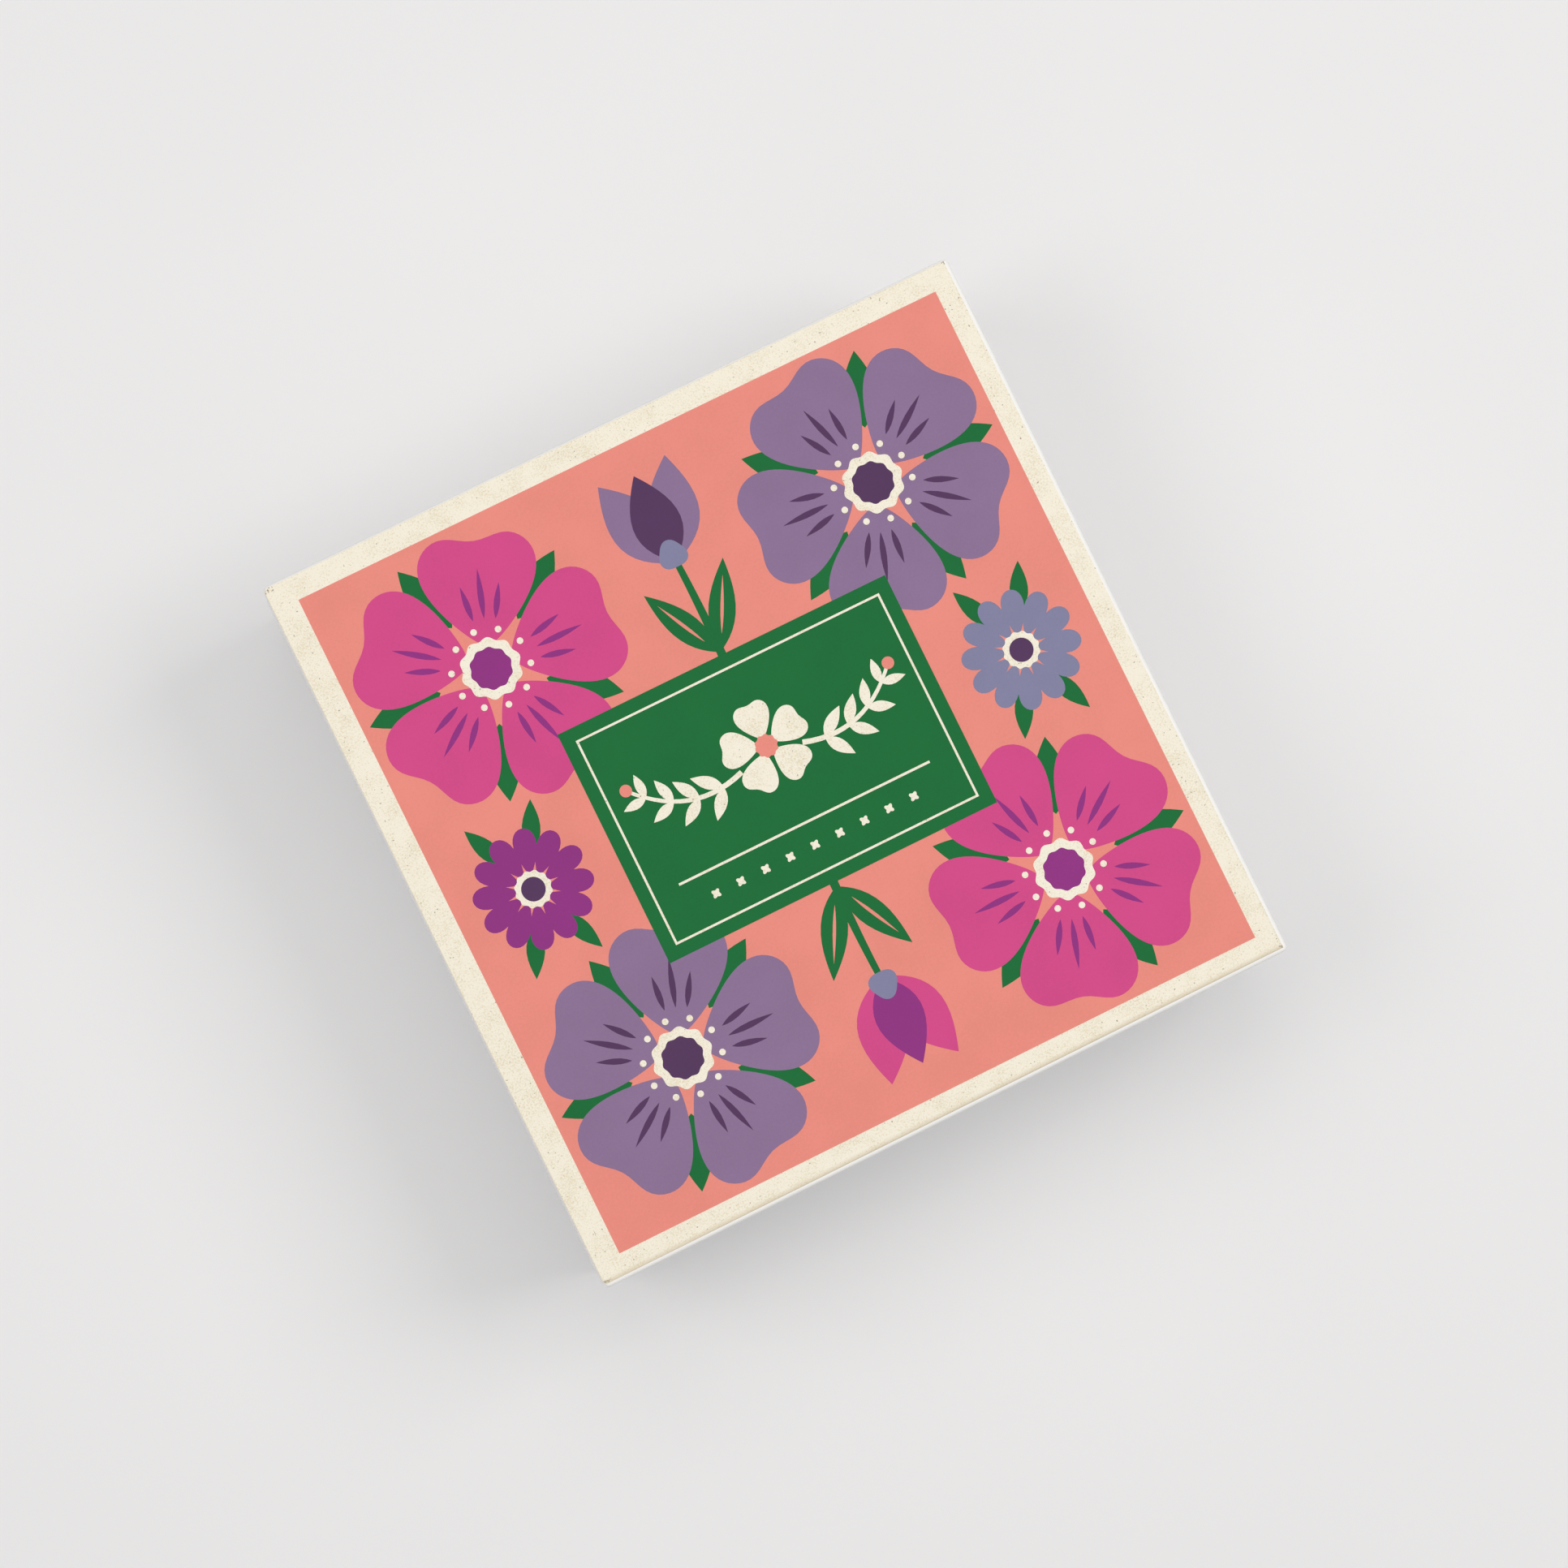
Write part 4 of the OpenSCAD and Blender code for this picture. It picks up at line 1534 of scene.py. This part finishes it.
@dataclass
class PressStack:
    """Boards, cards, blotting paper and leaflet, which lie in the press.

    The beats spread the sheets' stray turns and shifts from one sheet to the next.
    """

    board_mm: float = 8.0
    sheet_edge_mm: float = 0.09
    sheet_gap_mm: float = 0.01
    stray_mm: float = 0.22
    stray_deg: float = 0.12
    turn_beat: float = 2.3
    shift_beats: Point = (1.7, 2.9)

    def dress(self) -> None:
        """Gives the CAD nodes whose shapes are right their finishes."""
        kraft = KraftCard().material()
        leaflet = SoftPaper("cream_leaflet_paper", "#F4EFE2", "#EBE4D3", 0.5).material()
        for name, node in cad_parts.items():
            if name.endswith("_board"):
                finish = BirchPly(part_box(name)[0].z / MM, self.board_mm).material()
            elif name.startswith("card_"):
                finish = kraft
            elif name == "leaflet":
                finish = leaflet
            else:
                continue
            node.data.materials.clear()
            node.data.materials.append(finish)
            LOG.info("%s: dressed in %s", name, finish.name)

    def build_blotters(self) -> None:
        """Builds the sheets of blotting paper with soft cut edges, each laid in a hair askew."""
        felted = SoftPaper("white_blotting_paper", "#F6F2E8", "#E4DDCC", 0.9).material()
        names = [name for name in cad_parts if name.startswith("blotter_")]
        beat_x, beat_y = self.shift_beats
        for i, name in enumerate(names):
            low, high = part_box(name)
            size = high - low
            far = [v.co.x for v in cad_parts[name].data.vertices if v.co.y > high.y - NEAR_M]
            size.z -= self.sheet_gap_mm * MM
            sheet = block(size)
            cut_mm = (high.x - max(far)) / MM
            soften(sheet, [e for e in sheet.edges if rise(e) > size.z / 2.0], cut_mm, 1)
            soften(sheet, [e for e in sheet.edges if rise(e) < size.z / 2.0], self.sheet_edge_mm, 2)
            askew = Matrix.Rotation(math.radians(self.stray_deg) * math.sin(self.turn_beat * i), 4, "Z")
            stray = Vector((math.sin(beat_x * i), math.cos(beat_y * i), 0.0)) * self.stray_mm * MM
            piece = Piece(f"{name}_sheet")
            piece.take(sheet, Matrix.Translation((low + high) / 2.0 + stray) @ askew)
            piece.finish(felted, f"{name}_layer", "blotting_paper", (name,))


# The studio


@dataclass(frozen=True)
class Softbox:
    """One square soft lamp, turned towards the box."""

    name: str
    spot: tuple[float, float, float]
    size_m: float
    watts: float
    colour: str = "#FFFDF9"

    def hang(self) -> None:
        """Hangs the lamp at its place, in metres."""
        lamp = bpy.data.lights.new(self.name, "AREA")
        lamp.shape = "SQUARE"
        lamp.size = self.size_m
        lamp.energy = self.watts
        lamp.color = linear(self.colour)[:3]
        holder = put(self.name, lamp)
        holder.location = self.spot
        holder.rotation_euler = (-Vector(self.spot)).to_track_quat("-Z", "Y").to_euler()


@dataclass
class Studio:
    """Pale table, soft daylight from above and from three sides of the picture, and the camera."""

    camera_mm: tuple[float, float, float] = (-107.91, -37.68, 1389.76)
    target_mm: tuple[float, float, float] = (-0.131, -3.761, 56.0)
    camera_up: tuple[float, float, float] = (0.43916, 0.89652, 0.05829)
    focal_px: float = 7000.0
    image_px: float = 1932.0
    sensor_mm: float = 36.0
    clip_m: Point = (0.05, 20.0)
    table_m: float = 6.0
    table_gap_mm: float = 0.05
    lamps: tuple[Softbox, ...] = (
        Softbox("right_window", (1.28, -0.11, 1.53), 1.1, 11.3),
        Softbox("left_window", (-1.17, 0.54, 1.53), 1.1, 6.9),
        Softbox("far_window", (0.24, 0.91, 1.77), 1.1, 3.2),
        Softbox("ceiling", (0.0, 0.0, 1.8), 4.8, 32.4),
    )
    sky: str = "#F5F5F6"
    sky_strength: float = 0.32

    def build(self) -> None:
        """Builds the table, the lamps, the sky and the camera."""
        table = bpy.data.meshes.new("table")
        top = bmesh.new()
        bmesh.ops.create_grid(top, x_segments=1, y_segments=1, size=self.table_m / 2.0)
        bmesh.ops.translate(top, vec=(0.0, 0.0, -self.table_gap_mm * MM), verts=top.verts)
        top.to_mesh(table)
        top.free()
        table.materials.append(PaintedTable().material())
        floor = put("table", table)
        for lamp in self.lamps:
            lamp.hang()
        world = bpy.data.worlds.new("studio")
        bpy.context.scene.world = world
        world.use_nodes = True
        background = world.node_tree.nodes["Background"]
        background.inputs["Color"].default_value = linear(self.sky)
        background.inputs["Strength"].default_value = self.sky_strength
        self._camera()
        bpy.context.scene.view_settings.view_transform = "Standard"

    def _camera(self) -> None:
        """Sets the camera where the photograph's four corners put it."""
        camera = bpy.data.cameras.new("photo_camera")
        camera.sensor_width = self.sensor_mm
        camera.lens = self.focal_px / self.image_px * self.sensor_mm
        camera.clip_start, camera.clip_end = self.clip_m
        back = (Vector(self.camera_mm) - Vector(self.target_mm)).normalized()
        right = Vector(self.camera_up).cross(back).normalized()
        turn = Matrix((right, back.cross(right), back)).transposed().to_4x4()
        holder = put("photo_camera", camera)
        holder.matrix_world = Matrix.Translation(Vector(self.camera_mm) * MM) @ turn
        bpy.context.scene.camera = holder


def main() -> None:
    """Builds every part of the scene in order."""
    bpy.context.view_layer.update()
    Studio().build()
    grey = GreyBoard().material()
    for part, opening in (("tray", Opening.UP), ("lid", Opening.DOWN)):
        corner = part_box(f"box_{part}")[1]
        wrap = WrapPaper(part, (corner.x / MM, corner.y / MM)).material()
        BoxShell(f"box_{part}", part, f"{part}_paper", opening).build(wrap, grey)
    stock = SpeckledStock().material()
    finishes = {ink: PrintInk(ink.name.lower(), ink.value).material() for ink in Ink if ink is not Ink.CREAM}
    finishes[Ink.CREAM] = stock
    CoverSheet().build(stock, finishes)
    LeafletDesign().build(finishes)
    zinc = ZincPlate().material()
    fasteners = Fasteners()
    fasteners.build_bolts(zinc)
    fasteners.build_washers(zinc)
    fasteners.build_nuts(zinc)
    stack = PressStack()
    stack.dress()
    stack.build_blotters()


if __name__ == "__main__":
    main()
